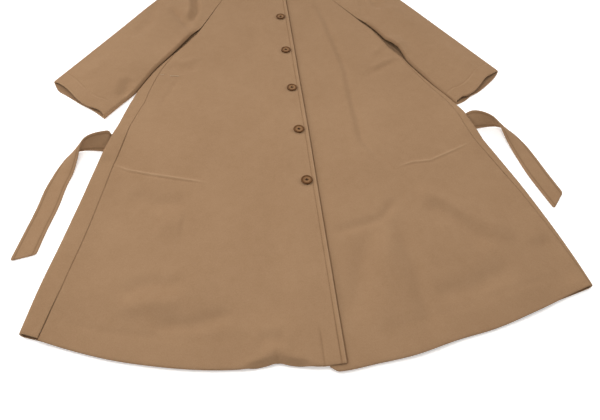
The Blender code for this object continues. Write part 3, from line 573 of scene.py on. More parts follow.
# %% A front
HEM_CLOTH = 0.0036
FACING_SHARE, FACING_RAMP = 0.3, (0.002, 0.012)
UNEVEN, UNEVEN_SIZE = 0.0006, 0.16
SEAM_SHADE, SEAM_SHADE_WIDTH = 0.15, 0.0012
LAP_RISE, LAP_RAMP = 0.0031, (-0.055, -0.012)
LAP_CURL, LAP_CURL_WIDTH = 0.0012, 0.014
LAP_PRESS, LAP_PRESS_AT, LAP_PRESS_WIDTH, LAP_PRESS_FROM = 0.0022, 0.0009, 0.0010, (-0.5315, -0.5285)
LAP_PRESS_SHADE = 0.45
STITCH_INSET = 0.0068
STITCH_DIP, STITCH_DIP_WIDTH = 0.0008, 0.0011
STITCH_SHADE, STITCH_SHADE_WIDTH = 0.16, 0.0008
STITCH_SHADE_HEM, STITCH_SHADE_RAMP = 0.24, (-0.50, -0.40)
EDGE_PAINTED_HIGHLIGHT, EDGE_PAINTED_HIGHLIGHT_WIDTH = 0.40, 0.0022
POCKET_ROWS = (-0.205, -0.120)
NEAR_SEAM = spaced((0.0, 0.004, 6), (0.004, 0.030, 11))
NEAR_LAP_EDGE = spaced((0.040, 0.020, 14), (0.020, 0.009, 7), (0.009, 0.0, 12))
NEAR_UNDER_EDGE = spaced((0.046, 0.020, 32), (0.020, 0.0, 9))
BETWEEN = 118


def across_front(index, width, start, near_edge):
    """Distance of each column from the side fold: close at the seam and at the edge, even between."""
    seam, edge = len(NEAR_SEAM) - 1, len(near_edge) - 1
    reach = np.minimum(1.0, 0.8 * width / (start + NEAR_SEAM[-1] + near_edge[0]))
    first, last = start + NEAR_SEAM[-1] * reach, width - near_edge[0] * reach
    distance = first + (last - first) * np.clip((index - seam) / BETWEEN, 0.0, 1.0)
    distance = np.where(index <= seam, start + NEAR_SEAM[np.minimum(index, seam)] * reach, distance)
    past = np.clip(index - seam - BETWEEN, 0, edge)
    return np.where(past > 0, width - near_edge[past] * reach, distance)


def front(name, side, raglan, hem, neck, edge, on_right, creases, painted_lines):
    """A front panel, from its side seam to its front edge."""
    bottom, top = side[0][1], raglan[-1][1]
    rows = panel_rows(side, top, edge[-1][1], edge[0][1])
    side_ys = spaced((bottom, bottom + 0.006, 8), (bottom + 0.006, POCKET_ROWS[0], 64), (*POCKET_ROWS, 50),
                     (POCKET_ROWS[1], top, 120))
    near_edge = NEAR_LAP_EDGE if on_right else NEAR_UNDER_EDGE
    columns = len(NEAR_SEAM) - 1 + BETWEEN + len(near_edge) - 1
    mesh, column, row = grid_of(name, columns, len(side_ys) - 1)
    side_y = side_ys[row]
    middle_y = from_table(rows, side_y, 1)
    crest_x, front_x = line_by(side + raglan, 1, 0)(side_y), line_by(edge, 1, 0)(middle_y)
    width = np.abs(front_x - crest_x)
    closed = closed_below(side_y, side[-1][1])
    start = from_table(WRAP, side_y, 1 if on_right else 2) + SEAM_GAP / 2
    distance = across_front(column if on_right else columns - column, width, start, near_edge)
    from_fold, drop = folded(distance, fold_radius(side_y), closed)
    u = np.clip(from_fold / width, 0.0, 1.0)
    x = crest_x + (front_x - crest_x) * u
    y = bowed(side_y + (middle_y - side_y) * u, u, side_y, rows, hem, (side[0][0], edge[0][0]),
              neck, (raglan[-1][0], edge[-1][0]))
    from_edge, from_hem = width - distance, side_y - bottom
    inside = smooth(*FOLDS_FROM, from_fold)
    height = top_level(side_y, closed, from_fold) - drop + lift(x, y, TOP_RAMP)
    height = height + (along_lines(x, y, LARGE_FOLDS, tapered=False) + along_lines(x, y, creases)) * inside
    height = height + UNEVEN * ripple(x, y, UNEVEN_SIZE, 11 if on_right else 12) * inside
    height = height - rounded(from_edge) - rounded(from_hem) - 0.5 * rounded(distance - start)
    # painted highlights and painted shade from the table of lines, and painted shade along the side seam
    painted_light_and_shade = along_lines(x, y, painted_lines) - SEAM_SHADE * beside(distance, start, SEAM_SHADE_WIDTH)
    if on_right:
        height = height + LAP_RISE * smooth(*LAP_RAMP, x)
        height = height + LAP_CURL * (1 - smooth(0.0, LAP_CURL_WIDTH, from_edge))
        height = height - STITCH_DIP * beside(from_edge, STITCH_INSET, STITCH_DIP_WIDTH)
        shade = STITCH_SHADE + STITCH_SHADE_HEM * (1 - smooth(*STITCH_SHADE_RAMP, y))
        # a painted highlight along the lap's edge, and painted shade along its stitching
        painted_light_and_shade = painted_light_and_shade + EDGE_PAINTED_HIGHLIGHT * beside(from_edge, 0.0, EDGE_PAINTED_HIGHLIGHT_WIDTH)
        painted_light_and_shade = painted_light_and_shade - shade * beside(from_edge, STITCH_INSET, STITCH_SHADE_WIDTH)
    else:
        press_and_painted_shade = beside(x - line_by(FRONT_EDGE, 1, 0)(y), LAP_PRESS_AT, LAP_PRESS_WIDTH)
        press_and_painted_shade = press_and_painted_shade * smooth(*LAP_PRESS_FROM, y)
        # the dent pressed by the lap's edge, and painted shade beside it
        height, painted_light_and_shade = height - LAP_PRESS * press_and_painted_shade, painted_light_and_shade - LAP_PRESS_SHADE * press_and_painted_shade
    facing = FACING_SHARE * (1 - smooth(*FACING_RAMP, from_edge))
    weight = np.maximum(1 - smooth(*HEM_TURNED, from_hem), facing)
    return shell(mesh, np.column_stack((x, y, height)), HEM_CLOTH, weight, painted_light_and_shade=painted_light_and_shade)


# %% Make the fronts
front_right = front("coat_front_right", SIDE_RIGHT, RAGLAN_FRONT_RIGHT, HEM_FRONT_RIGHT, NECK_FRONT_RIGHT,
                    FRONT_EDGE, True, CREASES_RIGHT, PAINTED_LINES_RIGHT)
front_left = front("coat_front_left", SIDE_LEFT, RAGLAN_FRONT_LEFT, HEM_FRONT_LEFT, NECK_FRONT_LEFT,
                   UNDER_EDGE, False, CREASES_LEFT, PAINTED_LINES_LEFT)

# %% [markdown]
# ## Back
# The back lies on the floor and comes round both side folds, so its edges show on top as a band beside
# each side seam. Strips of their own on top would show a break at the fold, so one grid follows the
# cloth all the way: seam, fold, underside, fold, seam.

# %% The back
BACK_CLOTH = 0.0030
BACK_HEM_Y = -0.5300
BACK_ROWS = np.concatenate((np.linspace(0.0, 0.006, 7), np.linspace(0.010, 1.0, 230)))
TURNED = 26
PAST_FOLD = 0.008
UNDER = spaced((0.0, 0.095, 14))
BACK_BETWEEN = 22
OVER_FROM = (-0.004, 0.006)


def back():
    """The back panel."""
    top_y = NECK_BACK[0][1]
    rows = panel_rows(SIDE_RIGHT, top_y, NECK_BACK[1][1], BACK_HEM_Y)
    near = TURNED + len(UNDER)
    columns = 2 * (near - 1) + BACK_BETWEEN
    mesh, column, row = grid_of("coat_back", columns, len(BACK_ROWS) - 1)
    on_right = column <= columns / 2
    right_y, left_y = [side[0][1] + (top_y - side[0][1]) * BACK_ROWS[row] for side in (SIDE_RIGHT, SIDE_LEFT)]
    side_y = np.where(on_right, right_y, left_y)
    closed = closed_below(side_y, np.where(on_right, SIDE_RIGHT[-1][1], SIDE_LEFT[-1][1]))
    start_x = line_by(SIDE_RIGHT + RAGLAN_BACK_RIGHT, 1, 0)(right_y)
    width = line_by(SIDE_LEFT + RAGLAN_BACK_LEFT, 1, 0)(left_y) - start_x
    index = np.where(on_right, column, columns - column)
    wrap = np.where(on_right, from_table(WRAP, side_y, 1), from_table(WRAP, side_y, 2)) - SEAM_GAP / 2
    reach = np.minimum(1.0, 0.4 * width / (UNDER[-1] + PAST_FOLD))
    on_top = wrap + (-PAST_FOLD - wrap) * np.clip(index / TURNED, 0.0, 1.0)
    below = -(PAST_FOLD + UNDER[np.clip(index - TURNED, 0, len(UNDER) - 1)])
    distance = np.where(index <= TURNED, on_top, below) * reach
    from_fold, drop = folded(np.abs(distance), fold_radius(side_y), closed)
    begin = (PAST_FOLD + UNDER[-1]) * reach / width
    in_middle = index >= near
    u = np.where(in_middle, begin + (1 - 2 * begin) * (index - near + 1) / BACK_BETWEEN, from_fold / width)
    drop, distance = np.where(in_middle, 0.0, drop), np.where(in_middle, -1.0, distance)
    u = np.where(on_right, u, 1 - u)
    x = start_x + width * u
    y = bowed(right_y + (left_y - right_y) * u, u, right_y, rows, HEM_BACK, (HEM_BACK[0][0], HEM_BACK[-1][0]),
              NECK_BACK, (NECK_BACK[0][0], NECK_BACK[-1][0]))
    top = top_level(side_y, closed, from_fold) - 0.5 * rounded(wrap - distance)
    top = top + along_lines(x, y, LARGE_FOLDS, tapered=False) * smooth(*FOLDS_FROM, from_fold)
    under_lift, over_lift = lift(x, y), lift(x, y, TOP_RAMP)
    from_hem = side_y - np.where(on_right, SIDE_RIGHT[0][1], SIDE_LEFT[0][1])
    height = np.where(distance > 0, top - drop - rounded(from_hem), drop)
    height = height + under_lift + (over_lift - under_lift) * smooth(*OVER_FROM, distance)
    return shell(mesh, np.column_stack((x, y, np.maximum(height, 0.0))), BACK_CLOTH,
                 1 - smooth(*HEM_TURNED, from_hem), outside_up=False)


back_piece = back()

# %% [markdown]
# ## Sleeves
# A raglan sleeve has a front and a back half that meet on the shoulder and under the arm. It lies as a
# flattened tube, open at the cuff, and a deep groove parts it from the body below the armpit. One tube
# could be squashed flat, but each half is cut by itself, so each is filled between its own four lines:
# the cuff, the neck end, the shoulder, and the inner edge, which lies close to the side of the body.

# %% Outlines of the sleeves, rows of (x, y) from the cuff to the neck
SLEEVE_INNER_RIGHT = mm((
    (-340, -3), (-314.7, 30), (-286.2, 66), (-270.8, 94), (-252.8, 128), (-228.2, 164), (-192.3, 213),
    (-175.7, 240), (-159.4, 269),
))
SLEEVE_INNER_LEFT = mm((
    (330.2, -20), (305, 26.8), (289, 59.4), (268.4, 104.3), (257.1, 133.1), (240.6, 164), (232.5, 185),
    (212.6, 235), (186.9, 281),
))
SHOULDER_RIGHT = mm(((-448, 109), (-335.3, 274), (-259.1, 387.5), (-205, 456), (-150, 492), (-80, 516)))
SHOULDER_LEFT = mm(((446.5, 69.5), (370, 215), (294.5, 357), (240, 442), (180, 490), (104, 516)))
CUFF_FRONT_RIGHT = mm((
    (-448, 109), (-436.3, 99), (-418.9, 79.6), (-401.4, 54.1), (-388.1, 37.5), (-373.3, 25), (-359.8, 19),
    (-349, 12), (-340, -3),
))
CUFF_FRONT_LEFT = mm((
    (330.2, -20), (336.3, -14), (347.4, -7), (357.4, -5.5), (371.3, 2), (383.3, 12.5), (396.8, 27.7),
    (411.1, 44.2), (427.5, 56), (446.5, 69.5),
))
CUFF_BACK_RIGHT = mm((
    (-448, 109), (-437.3, 87), (-421.3, 72.5), (-405.7, 58.2), (-390.4, 44.1), (-375.2, 32.2),
    (-360.3, 18.7), (-340, -3),
))
CUFF_BACK_LEFT = mm((
    (330.2, -20), (344, -14.6), (356.1, -7.3), (369.4, 3.7), (385.5, 12.4), (403.3, 26.1), (422.3, 42.5),
    (437.2, 57.7), (446.5, 69.5),
))

# %% How far the front half stands off the body and above it: (y, distance off, rise)
GROOVE_RIGHT = mm((
    (50, 0, 0), (80, 1, 0), (130, 1.4, 1), (180, 2.4, 2), (215, 4.6, 4), (240, 4.4, 3.6), (258, 1.6, 1),
    (269, 0, 0),
))
GROOVE_LEFT = mm((
    (0, 0, 0), (50, 1, 0), (120, 1.8, 1), (136, 4.6, 4), (156, 8.4, 9.5), (172, 7.4, 9), (192, 3.4, 4),
    (230, 3.2, 2.6), (262, 2.2, 1.2), (281, 0, 0),
))

# %% Sleeve halves
SLEEVE_CLOTH = 0.0032
SLEEVE_FOLD_RADIUS = 0.0045
SLEEVE_SWELL = ((0.0, 0.0075), (0.2, 0.0070), (0.5, 0.0060), (0.75, 0.0020), (1.0, 0.0))
ROLL_EXTRA, ROLL_FROM = 0.0022, (0.030, 0.080)
NEAR_SLEEVE_FOLD = spaced((0.0, 0.012, 10))
SLEEVE_BETWEEN = 46
SLEEVE_ROWS = spaced((0.0, 0.010, 7), (0.010, 0.070, 28), (0.070, 1.0, 105))
SLEEVE_LENGTH = 0.50
SLEEVE_UNEVEN, SLEEVE_UNEVEN_SIZE = 0.0005, 0.11
GROOVE_RAMP = (0.002, 0.034)
CREASE_END = 0.012
CUFF_TURNED = (0.002, 0.026)
CUFF_PRINT = ((0.026, 0.0014, -0.0005), (0.023, 0.0016, 0.0003))
# painted highlight on the ridge of the cuff's print, painted shade in its groove
CUFF_PAINTED_LIGHT = ((0.0235, 0.0013, 0.22), (0.0262, 0.0012, -0.12))
CUFF_PATCH_SIZE = 0.05


def print_of(rows, distance):
    """What an edge turned in prints on the outside, from rows of (place, half width, amount)."""
    return sum(amount * beside(distance, place, half_width) for place, half_width, amount in rows)


def filled(bottom_line, top_line, left, right, u, v):
    """Places between four lines: the cuff, the neck end, and the left and right edges."""
    u, v, ends = u[:, None], v[:, None], np.array([0.0, 1.0])
    (low_left, low_right), (high_left, high_right) = bottom_line(ends), top_line(ends)
    across = left * (1 - u) + right * u
    along = bottom_line(u[:, 0]) * (1 - v) + top_line(u[:, 0]) * v
    corners = (low_left * (1 - u) + low_right * u) * (1 - v) + (high_left * (1 - u) + high_right * u) * v
    return across + along - corners


def sleeve(name, inner, raglan, shoulder, cuff, groove, on_right, is_front):
    """One half of a sleeve, from its inner edge to the shoulder."""
    gap = SEAM_GAP / 2
    outward = -1.0 if on_right else 1.0
    near = len(NEAR_SLEEVE_FOLD) - 1
    columns = 2 * near + SLEEVE_BETWEEN
    mesh, column, row = grid_of(name, columns, len(SLEEVE_ROWS) - 1)
    v = SLEEVE_ROWS[row]
    index = columns - column if on_right else column
    in_crest = curve_through([(x + outward * gap, y) for x, y in inner + raglan])(v)
    out_crest = curve_through(shoulder)(v)
    if is_front:
        in_crest[:, 0] += outward * from_table(groove, in_crest[:, 1], 1)
    width = np.linalg.norm(out_crest - in_crest, axis=1)
    closed = closed_below(in_crest[:, 1], inner[-1][1])
    outside = np.minimum(columns - index, near)
    start, start_drop = folded(gap + NEAR_SLEEVE_FOLD[np.minimum(index, near)], SLEEVE_FOLD_RADIUS, closed)
    end, end_drop = folded(gap + NEAR_SLEEVE_FOLD[outside], SLEEVE_FOLD_RADIUS, 1.0)
    crowd = np.minimum(1.0, 0.8 * width / (start + end))
    start, end = start * crowd, end * crowd
    from_inner = start + (width - start - end) * np.clip((index - near) / SLEEVE_BETWEEN, 0.0, 1.0)
    from_inner = np.where(outside < near, width - end, from_inner)
    u = from_inner / width
    top_line = curve_through((shoulder[-1], raglan[-1]) if on_right else (raglan[-1], shoulder[-1]))
    edges = (out_crest, in_crest) if on_right else (in_crest, out_crest)
    spot = filled(curve_through(cuff), top_line, *edges, 1 - u if on_right else u, v)
    x, y = spot[:, 0], spot[:, 1]
    from_cuff = v * SLEEVE_LENGTH
    height, painted_light_and_shade = start_drop + end_drop, None
    if is_front:
        crest = 2 * SLEEVE_FOLD_RADIUS
        extra = ROLL_EXTRA * closed * smooth(*ROLL_FROM, in_crest[:, 1])
        drop = start_drop * (1 + extra / SLEEVE_FOLD_RADIUS) + end_drop
        at_inner = FRONT_LEVEL + closed * (crest - FRONT_LEVEL) + extra
        swell = from_table(SLEEVE_SWELL, v, 1) * np.sin(math.pi * np.clip(u, 0.0, 1.0)) ** 0.8
        swell = swell + from_table(groove, in_crest[:, 1], 2) * (1 - smooth(*GROOVE_RAMP, from_inner))
        away = smooth(0.0, CREASE_END, from_inner) * smooth(0.0, CREASE_END, width - from_inner)
        uneven = SLEEVE_UNEVEN * ripple(x, y, SLEEVE_UNEVEN_SIZE, 21 if on_right else 22)
        folds = along_lines(x, y, CREASES_SLEEVES) + uneven + print_of(CUFF_PRINT, from_cuff)
        height = at_inner + (crest - at_inner) * u + swell - drop + folds * away - rounded(from_cuff)
        shown = 0.5 + 0.5 * ripple(x, y, CUFF_PATCH_SIZE, 24)
        painted_light_and_shade = shown * print_of(CUFF_PAINTED_LIGHT, from_cuff)
    return shell(mesh, np.column_stack((x, y, height + lift(x, y))), SLEEVE_CLOTH,
                 1 - smooth(*CUFF_TURNED, from_cuff), outside_up=is_front, painted_light_and_shade=painted_light_and_shade)


# %% Make the sleeves
sleeves = {}
for half, right_lines, left_lines in (
        ("front", (RAGLAN_FRONT_RIGHT, CUFF_FRONT_RIGHT), (RAGLAN_FRONT_LEFT, CUFF_FRONT_LEFT)),
        ("back", (RAGLAN_BACK_RIGHT, CUFF_BACK_RIGHT), (RAGLAN_BACK_LEFT, CUFF_BACK_LEFT))):
    for side, inner, shoulder, groove, (raglan, cuff) in (
            ("right", SLEEVE_INNER_RIGHT, SHOULDER_RIGHT, GROOVE_RIGHT, right_lines),
            ("left", SLEEVE_INNER_LEFT, SHOULDER_LEFT, GROOVE_LEFT, left_lines)):
        which = f"{side}_{half}"
        sleeves[which] = sleeve(f"coat_sleeve_{which}", inner, raglan, shoulder, cuff, groove,
                                side == "right", half == "front")

# %% [markdown]
# ## Collar and belt
# The collar is a stand that rolls over into its fall all round the neck. The belt is one length of two
# layers of the same wool, pressed in near its edges where it is stitched. Either could be swept along
# a curve, but both change their slant on the way, so each is drawn through rows of stations.

# %% The collar from the middle of the back to one front: neck edge, top of the stand, of the fall, edge
COLLAR_CLOTH = 0.0020
COLLAR_ROWS = mm((
    ((0, 499.5, 5.8), (0, 537.4, 5.8), (0, 537.4, 0.7), (0, 466, 0.7)),
    ((40, 502, 5.8), (42, 536.9, 5.8), (46, 536.9, 0.7), (60, 466, 0.7)),
    ((72, 508, 6), (75, 534.9, 6), (83, 534.9, 0.7), (115, 469, 0.7)),
    ((88, 517.5, 6.6), (91, 530, 6.8), (100, 529, 2.8), (152, 496, 1.2)),
    ((91, 520.5, 7.6), (94, 531, 7.8), (102, 530, 9), (157, 504, 9)),
    ((88, 517.5, 9), (91, 527, 9.2), (99, 525, 15.6), (150, 484, 17)),
    ((73, 480, 9), (75, 490, 9), (82, 489, 16.6), (125, 434, 16.9)),
    ((45, 450, 9), (45, 459, 9), (49, 459, 16.6), (85, 393, 16.9)),
    ((5, 435, 9), (5, 443, 9), (7, 443, 16.6), (32, 372, 16.9)),
))
COLLAR_BETWEEN = 9
COLLAR_UNEVEN, COLLAR_UNEVEN_SIZE, COLLAR_TOP_LEVEL = 0.0004, 0.07, 0.012
STAND_STEPS, ROLL_STEPS, FALL_STEPS = 6, 9, 22


def collar():
    """The collar."""
    right_half = tuple(tuple((-x, y, z) for x, y, z in row) for row in reversed(COLLAR_ROWS[1:]))
    stations = right_half + COLLAR_ROWS
    mesh, column, row = grid_of("coat_collar", (len(stations) - 1) * COLLAR_BETWEEN,
                                STAND_STEPS + ROLL_STEPS + FALL_STEPS)
    neck, stand_top, fall_top, edge = [
        curve_through([station[index] for station in stations], by_station=True)(column / COLLAR_BETWEEN)
        for index in range(4)]
    on_stand = np.clip(row / STAND_STEPS, 0.0, 1.0)[:, None]
    on_roll = np.clip((row - STAND_STEPS) / ROLL_STEPS, 0.0, 1.0)[:, None]
    on_fall = np.clip((row - STAND_STEPS - ROLL_STEPS) / FALL_STEPS, 0.0, 1.0)[:, None]
    crest = np.zeros_like(neck)
    crest[:, 1] = np.linalg.norm(fall_top - stand_top, axis=1) / 2
    angle = math.pi * on_roll
    rolled = stand_top + (fall_top - stand_top) * (1 - np.cos(angle)) / 2 + crest * np.sin(angle)
    spot = np.where(on_roll > 0, rolled, neck + (stand_top - neck) * on_stand)
    spot = np.where(on_fall > 0, fall_top + (edge - fall_top) * on_fall, spot)
    spot = spot + np.array((MIDDLE_X, 0.0, 0.0))
    uneven = COLLAR_UNEVEN * ripple(spot[:, 0], spot[:, 1], COLLAR_UNEVEN_SIZE, 31)
    spot[:, 2] += uneven * on_fall[:, 0] * (spot[:, 2] > COLLAR_TOP_LEVEL)
    return shell(mesh, spot, COLLAR_CLOTH)


collar_piece = collar()

# %% The belt from the coat outwards: lower edge (x, y), upper edge (x, y, z)
BELT_RIGHT = mm((
    (-270, -96, -270, -60, 1.7), (-298, -95, -297.5, -59, 1.7), (-312, -93, -311, -56.5, 3.6),
    (-324, -90.8, -321.5, -53.8, 8.5), (-334, -88.5, -326.2, -52.5, 17.8), (-344, -86.5, -335, -59, 23.8),
    (-356, -84.5, -344.5, -67, 28.8), (-369, -83.5, -356, -75, 30.5), (-383.5, -86.5, -364, -83.5, 29.4),
    (-396, -98.5, -369, -95, 24.5), (-406, -118, -373.5, -111, 14), (-415, -143, -380, -137.5, 4.5),
    (-423.3, -172, -388.2, -166, 1.8), (-430.8, -214.6, -395.3, -210, 1.7),
    (-442.5, -265, -407, -258.5, 1.7), (-453.5, -312, -416, -303.5, 1.7),
))
BELT_LEFT = mm((
    (270, -96, 270, -60, 1.7), (305, -95.5, 304.5, -59.5, 1.7), (323, -94.2, 322, -58.4, 2.8),
    (336, -92.5, 333.5, -57.2, 6.6), (345, -90.5, 341, -57, 14.5), (355, -89, 348, -60.5, 22.2),
    (366, -87.5, 356.5, -68, 27.5), (378.5, -86.2, 366.5, -76, 29.2), (392.5, -87.2, 375.5, -83.5, 28.4),
    (406.5, -95.5, 383, -93, 25.2), (418.5, -112.5, 389, -107, 18.5), (429, -138.5, 395, -131.5, 8.5),
    (437.3, -175, 402, -169, 2), (443.8, -211, 408.5, -217, 1.7), (453.5, -258.5, 425, -291, 1.7),
))
BELT_REST = 0.0017
BELT_THINNEST = 0.00117
BELT_BETWEEN, BELT_ACROSS = 10, 28
BELT_CORNER = 0.0045
BELT_END_STEP = 0.047
BELT_EDGE_RAMP = (-0.001, 0.0022)
BELT_STITCH_INSET = 0.0050
BELT_DIP, BELT_DIP_WIDTH, BELT_DIP_FROM = 0.35, 0.0014, 0.003
BELT_SHADE, BELT_SHADE_WIDTH = 0.40, 0.0012


def belt():
    """The tie belt."""
    middle = (MIDDLE_X, BELT_Y - BELT_WIDTH / 2, MIDDLE_X, BELT_Y + BELT_WIDTH / 2, BELT_CLOTH / 2)
    stations = (*reversed(BELT_RIGHT), middle, *BELT_LEFT)
    last = len(stations) - 1
    along = spaced((0.0, 0.15, 12), (0.15, last - 0.15, last * BELT_BETWEEN), (last - 0.15, last, 12))
    mesh, column, row = grid_of("coat_belt", len(along) - 1, BELT_ACROSS)
    station = along[column]
    low = curve_through([(x, y, min(z, BELT_REST)) for x, y, _, _, z in stations], by_station=True)(station)
    high = curve_through([upper for _, _, *upper in stations], by_station=True)(station)
    from_end = np.minimum(station, last - station) * BELT_END_STEP
    inward = BELT_CORNER - np.minimum(from_end, BELT_CORNER)
    narrower = (BELT_CORNER - np.sqrt(BELT_CORNER**2 - inward**2)) / BELT_WIDTH
    share = narrower + (1 - 2 * narrower) * row / BELT_ACROSS
    from_edge = np.minimum(row, BELT_ACROSS - row) / BELT_ACROSS * BELT_WIDTH
    weight = smooth(*BELT_EDGE_RAMP, np.minimum(from_edge, from_end))
    dipped = BELT_DIP * beside(from_edge, BELT_STITCH_INSET, BELT_DIP_WIDTH) * (from_edge > BELT_DIP_FROM)
    # painted shade along the belt's stitching
    press_and_painted_shade = -BELT_SHADE * beside(from_edge, BELT_STITCH_INSET, BELT_SHADE_WIDTH)
    return shell(mesh, low + (high - low) * share[:, None], BELT_CLOTH, np.clip(weight - dipped, 0.0, 1.0),
                 BELT_THINNEST, offset=0.0, painted_light_and_shade=press_and_painted_shade)


belt_piece = belt()

# %% [markdown]
# ## Buttons
# A horn-look button is turned on a lathe, so its profile is spun round its own axis, and four holes are
# drilled in a diamond. Painted holes would do from afar, but real ones keep their dark rims close by.
# Horn has darker and lighter streaks and a soft shine. Dark thread crosses between the holes.


# %% Horn and thread finishes
def horn(name, deep, pale):
    """Brown horn with streaks."""
    material, tree, shader, place = new_material(name)
    streaks = noise(tree, place, 160.0, detail=4.0, roughness=0.6, stretch=(1.0, 0.3, 1.0))
    clouds = noise(tree, place, 45.0, detail=2.0)
    share = ((streaks - 0.5) * 1.1 + (clouds - 0.5) * 0.9 + 0.5).maths("MINIMUM", 1.0).maths("MAXIMUM", 0.0)
    feed(tree, shader.inputs["Roughness"], (clouds - 0.5) * 0.2 + 0.60)
    set_shader(tree, shader, {"Specular IOR Level": 0.14}, mixed(tree, share, (*deep, 1.0), (*pale, 1.0)),
               (0.12, 0.0002, streaks))
    return material


def thread(name, colour):
    """Twisted sewing thread."""
    material, tree, shader, place = new_material(name)
    twist = noise(tree, place, 2600.0, detail=1.0)
    dark = (*(part * 0.6 for part in colour), 1.0)
    set_shader(tree, shader, {"Roughness": 0.7, "Specular IOR Level": 0.1},
               mixed(tree, twist, dark, (*colour, 1.0)), (0.4, 0.0002, twist))
    return material


face_horn = horn("brown_horn_face", (0.170, 0.082, 0.032), (0.290, 0.152, 0.064))
rim_horn = horn("brown_horn_rim", (0.082, 0.032, 0.009), (0.145, 0.062, 0.019))
dark_thread = thread("dark_thread", (0.060, 0.030, 0.016))
wool_thread = thread("wool_thread", (0.230, 0.130, 0.062))
pale_thread = thread("pale_thread", (0.780, 0.600, 0.420))
print("horn and thread:", [m.name for m in (face_horn, rim_horn, dark_thread, wool_thread, pale_thread)])


# %% Round bars and finished objects
def bar(work, start, end, radius, segments, stretch=1.0, turn=0.0):
    """A short round bar between two points, turned about the upright axis."""
    run = end - start
    pose = Matrix.Translation((start + end) / 2) @ run.to_track_quat("Z", "Y").to_matrix().to_4x4()
    bmesh.ops.create_cone(work, cap_ends=True, segments=segments, radius1=radius, radius2=radius,
                          depth=run.length * stretch, matrix=Matrix.Rotation(turn, 4, "Z") @ pose)


def object_of(name, work, material):
    """A new object from a bmesh."""
    mesh = bpy.data.meshes.new(name)
    work.to_mesh(mesh)
    work.free()
    mesh.polygons.foreach_set("use_smooth", [True] * len(mesh.polygons))
    mesh.materials.append(material)
    piece = bpy.data.objects.new(name, mesh)
    bpy.context.scene.collection.objects.link(piece)
    return piece


# %% A button, its profile in rows of (radius, height)
BUTTON_PROFILE = mm((
    (0, 2), (4.2, 1.9), (5.8, 2), (6.6, 2.4), (7.2, 3), (8, 3.2), (8.8, 3.2), (9.5, 2.9), (9.9, 2.3),
    (10, 1.6), (9.6, 0.9), (8.4, 0.3), (7, 0), (0, 0),
))
HOLE_RADIUS, HOLE_OFFSET = 0.0010, 0.0024
RIM_FROM = 0.0066
DRILL_LEVEL, DRILL_LENGTH = 0.0015, 0.0100
STRAND_RADIUS, STRAND_BESIDE, STRAND_STEPS = 0.00036, 0.00035, 6
STRAND_LEVEL, STRAND_ARCH = 0.0019, 0.0009


def disc_of(name):
    """A turned disc with its four holes cut."""
    work = bmesh.new()
    corners = [work.verts.new((x, 0.0, z)) for x, z in BUTTON_PROFILE]
    edges = [work.edges.new(pair) for pair in zip(corners, corners[1:])]
    bmesh.ops.spin(work, geom=corners + edges, axis=(0, 0, 1), cent=(0, 0, 0), angle=2 * math.pi, steps=56,
                   use_merge=True)
    bmesh.ops.remove_doubles(work, verts=work.verts, dist=1e-6)
    bmesh.ops.recalc_face_normals(work, faces=work.faces)
    for face in work.faces:
        face.material_index = int(face.calc_center_median().xy.length > RIM_FROM)
    disc = object_of(name, work, face_horn)
    disc.data.materials.append(rim_horn)
    pegs = bmesh.new()
    for quarter in range(4):
        angle = quarter * math.pi / 2
        spot = (HOLE_OFFSET * math.cos(angle), HOLE_OFFSET * math.sin(angle), DRILL_LEVEL)
        bmesh.ops.create_cone(pegs, cap_ends=True, segments=20, radius1=HOLE_RADIUS, radius2=HOLE_RADIUS,
                              depth=DRILL_LENGTH, matrix=Matrix.Translation(spot))
    drill = object_of("drill", pegs, face_horn)
    cut = disc.modifiers.new("Holes", "BOOLEAN")
    cut.operation, cut.solver, cut.object = "DIFFERENCE", "EXACT", drill
    mesh = bpy.data.meshes.new_from_object(disc.evaluated_get(bpy.context.evaluated_depsgraph_get()))
    disc.modifiers.clear()
    disc.data = mesh
    bpy.data.objects.remove(drill)
    return disc


def button(number, spot):
    """One button with its crossed threads, in its place."""
    disc = disc_of(f"coat_button_{number}")
    strands = bmesh.new()
    shares = [step / STRAND_STEPS for step in range(STRAND_STEPS + 1)]
    for turn in (0.0, math.pi / 2):
        for side in (-STRAND_BESIDE, STRAND_BESIDE):
            path = [Vector(((share - 0.5) * 2 * HOLE_OFFSET, side,
                            STRAND_LEVEL + STRAND_ARCH * math.sin(math.pi * share))) for share in shares]
            for start, end in zip(path, path[1:]):
                bar(strands, start, end, STRAND_RADIUS, 8, stretch=1.15, turn=turn)
    sewn = object_of(f"coat_button_{number}_thread", strands, dark_thread)
    for piece in (disc, sewn):
        piece.data.transform(Matrix.Translation(spot))
    return disc, sewn


# %% Place the buttons on the right front
BUTTON_COUNT, BUTTON_PITCH = 6, 0.1222
BUTTON_X, BUTTON_LOWEST_Y = 0.0165, -0.1977
BUTTON_CLEAR = 0.0002


def surface_of(piece):
    """A finder for the height of a piece's outside at a place, from its open grid."""
    work = bmesh.new()
    work.from_mesh(piece.data)
    tree = BVHTree.FromBMesh(work)
    work.free()
    return lambda x, y: tree.ray_cast(Vector((x, y, 0.2)), Vector((0, 0, -1)))[0].z


on_right_front = surface_of(front_right)
buttons = []
for number in range(1, BUTTON_COUNT + 1):
    y = BUTTON_LOWEST_Y + (number - 1) * BUTTON_PITCH
    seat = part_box(f"button_{number}")[0].z
    level = max(seat, on_right_front(BUTTON_X, y) + BUTTON_CLEAR)
    buttons.append(button(number, Vector((BUTTON_X, y, level))))
triangles = sum(len(face.vertices) - 2 for face in buttons[0][0].data.polygons)
print("buttons:", len(buttons), "triangles in one:", triangles)

# %% [markdown]
# ## Stitching
# The stitches are short lengths of wool-coloured thread that sink into the nap along the right front's
# edge, and two small pale bar tacks lie high on the same front. A line in the bump would have no ends,
# so each stitch is one small round bar, laid on the cloth below it.


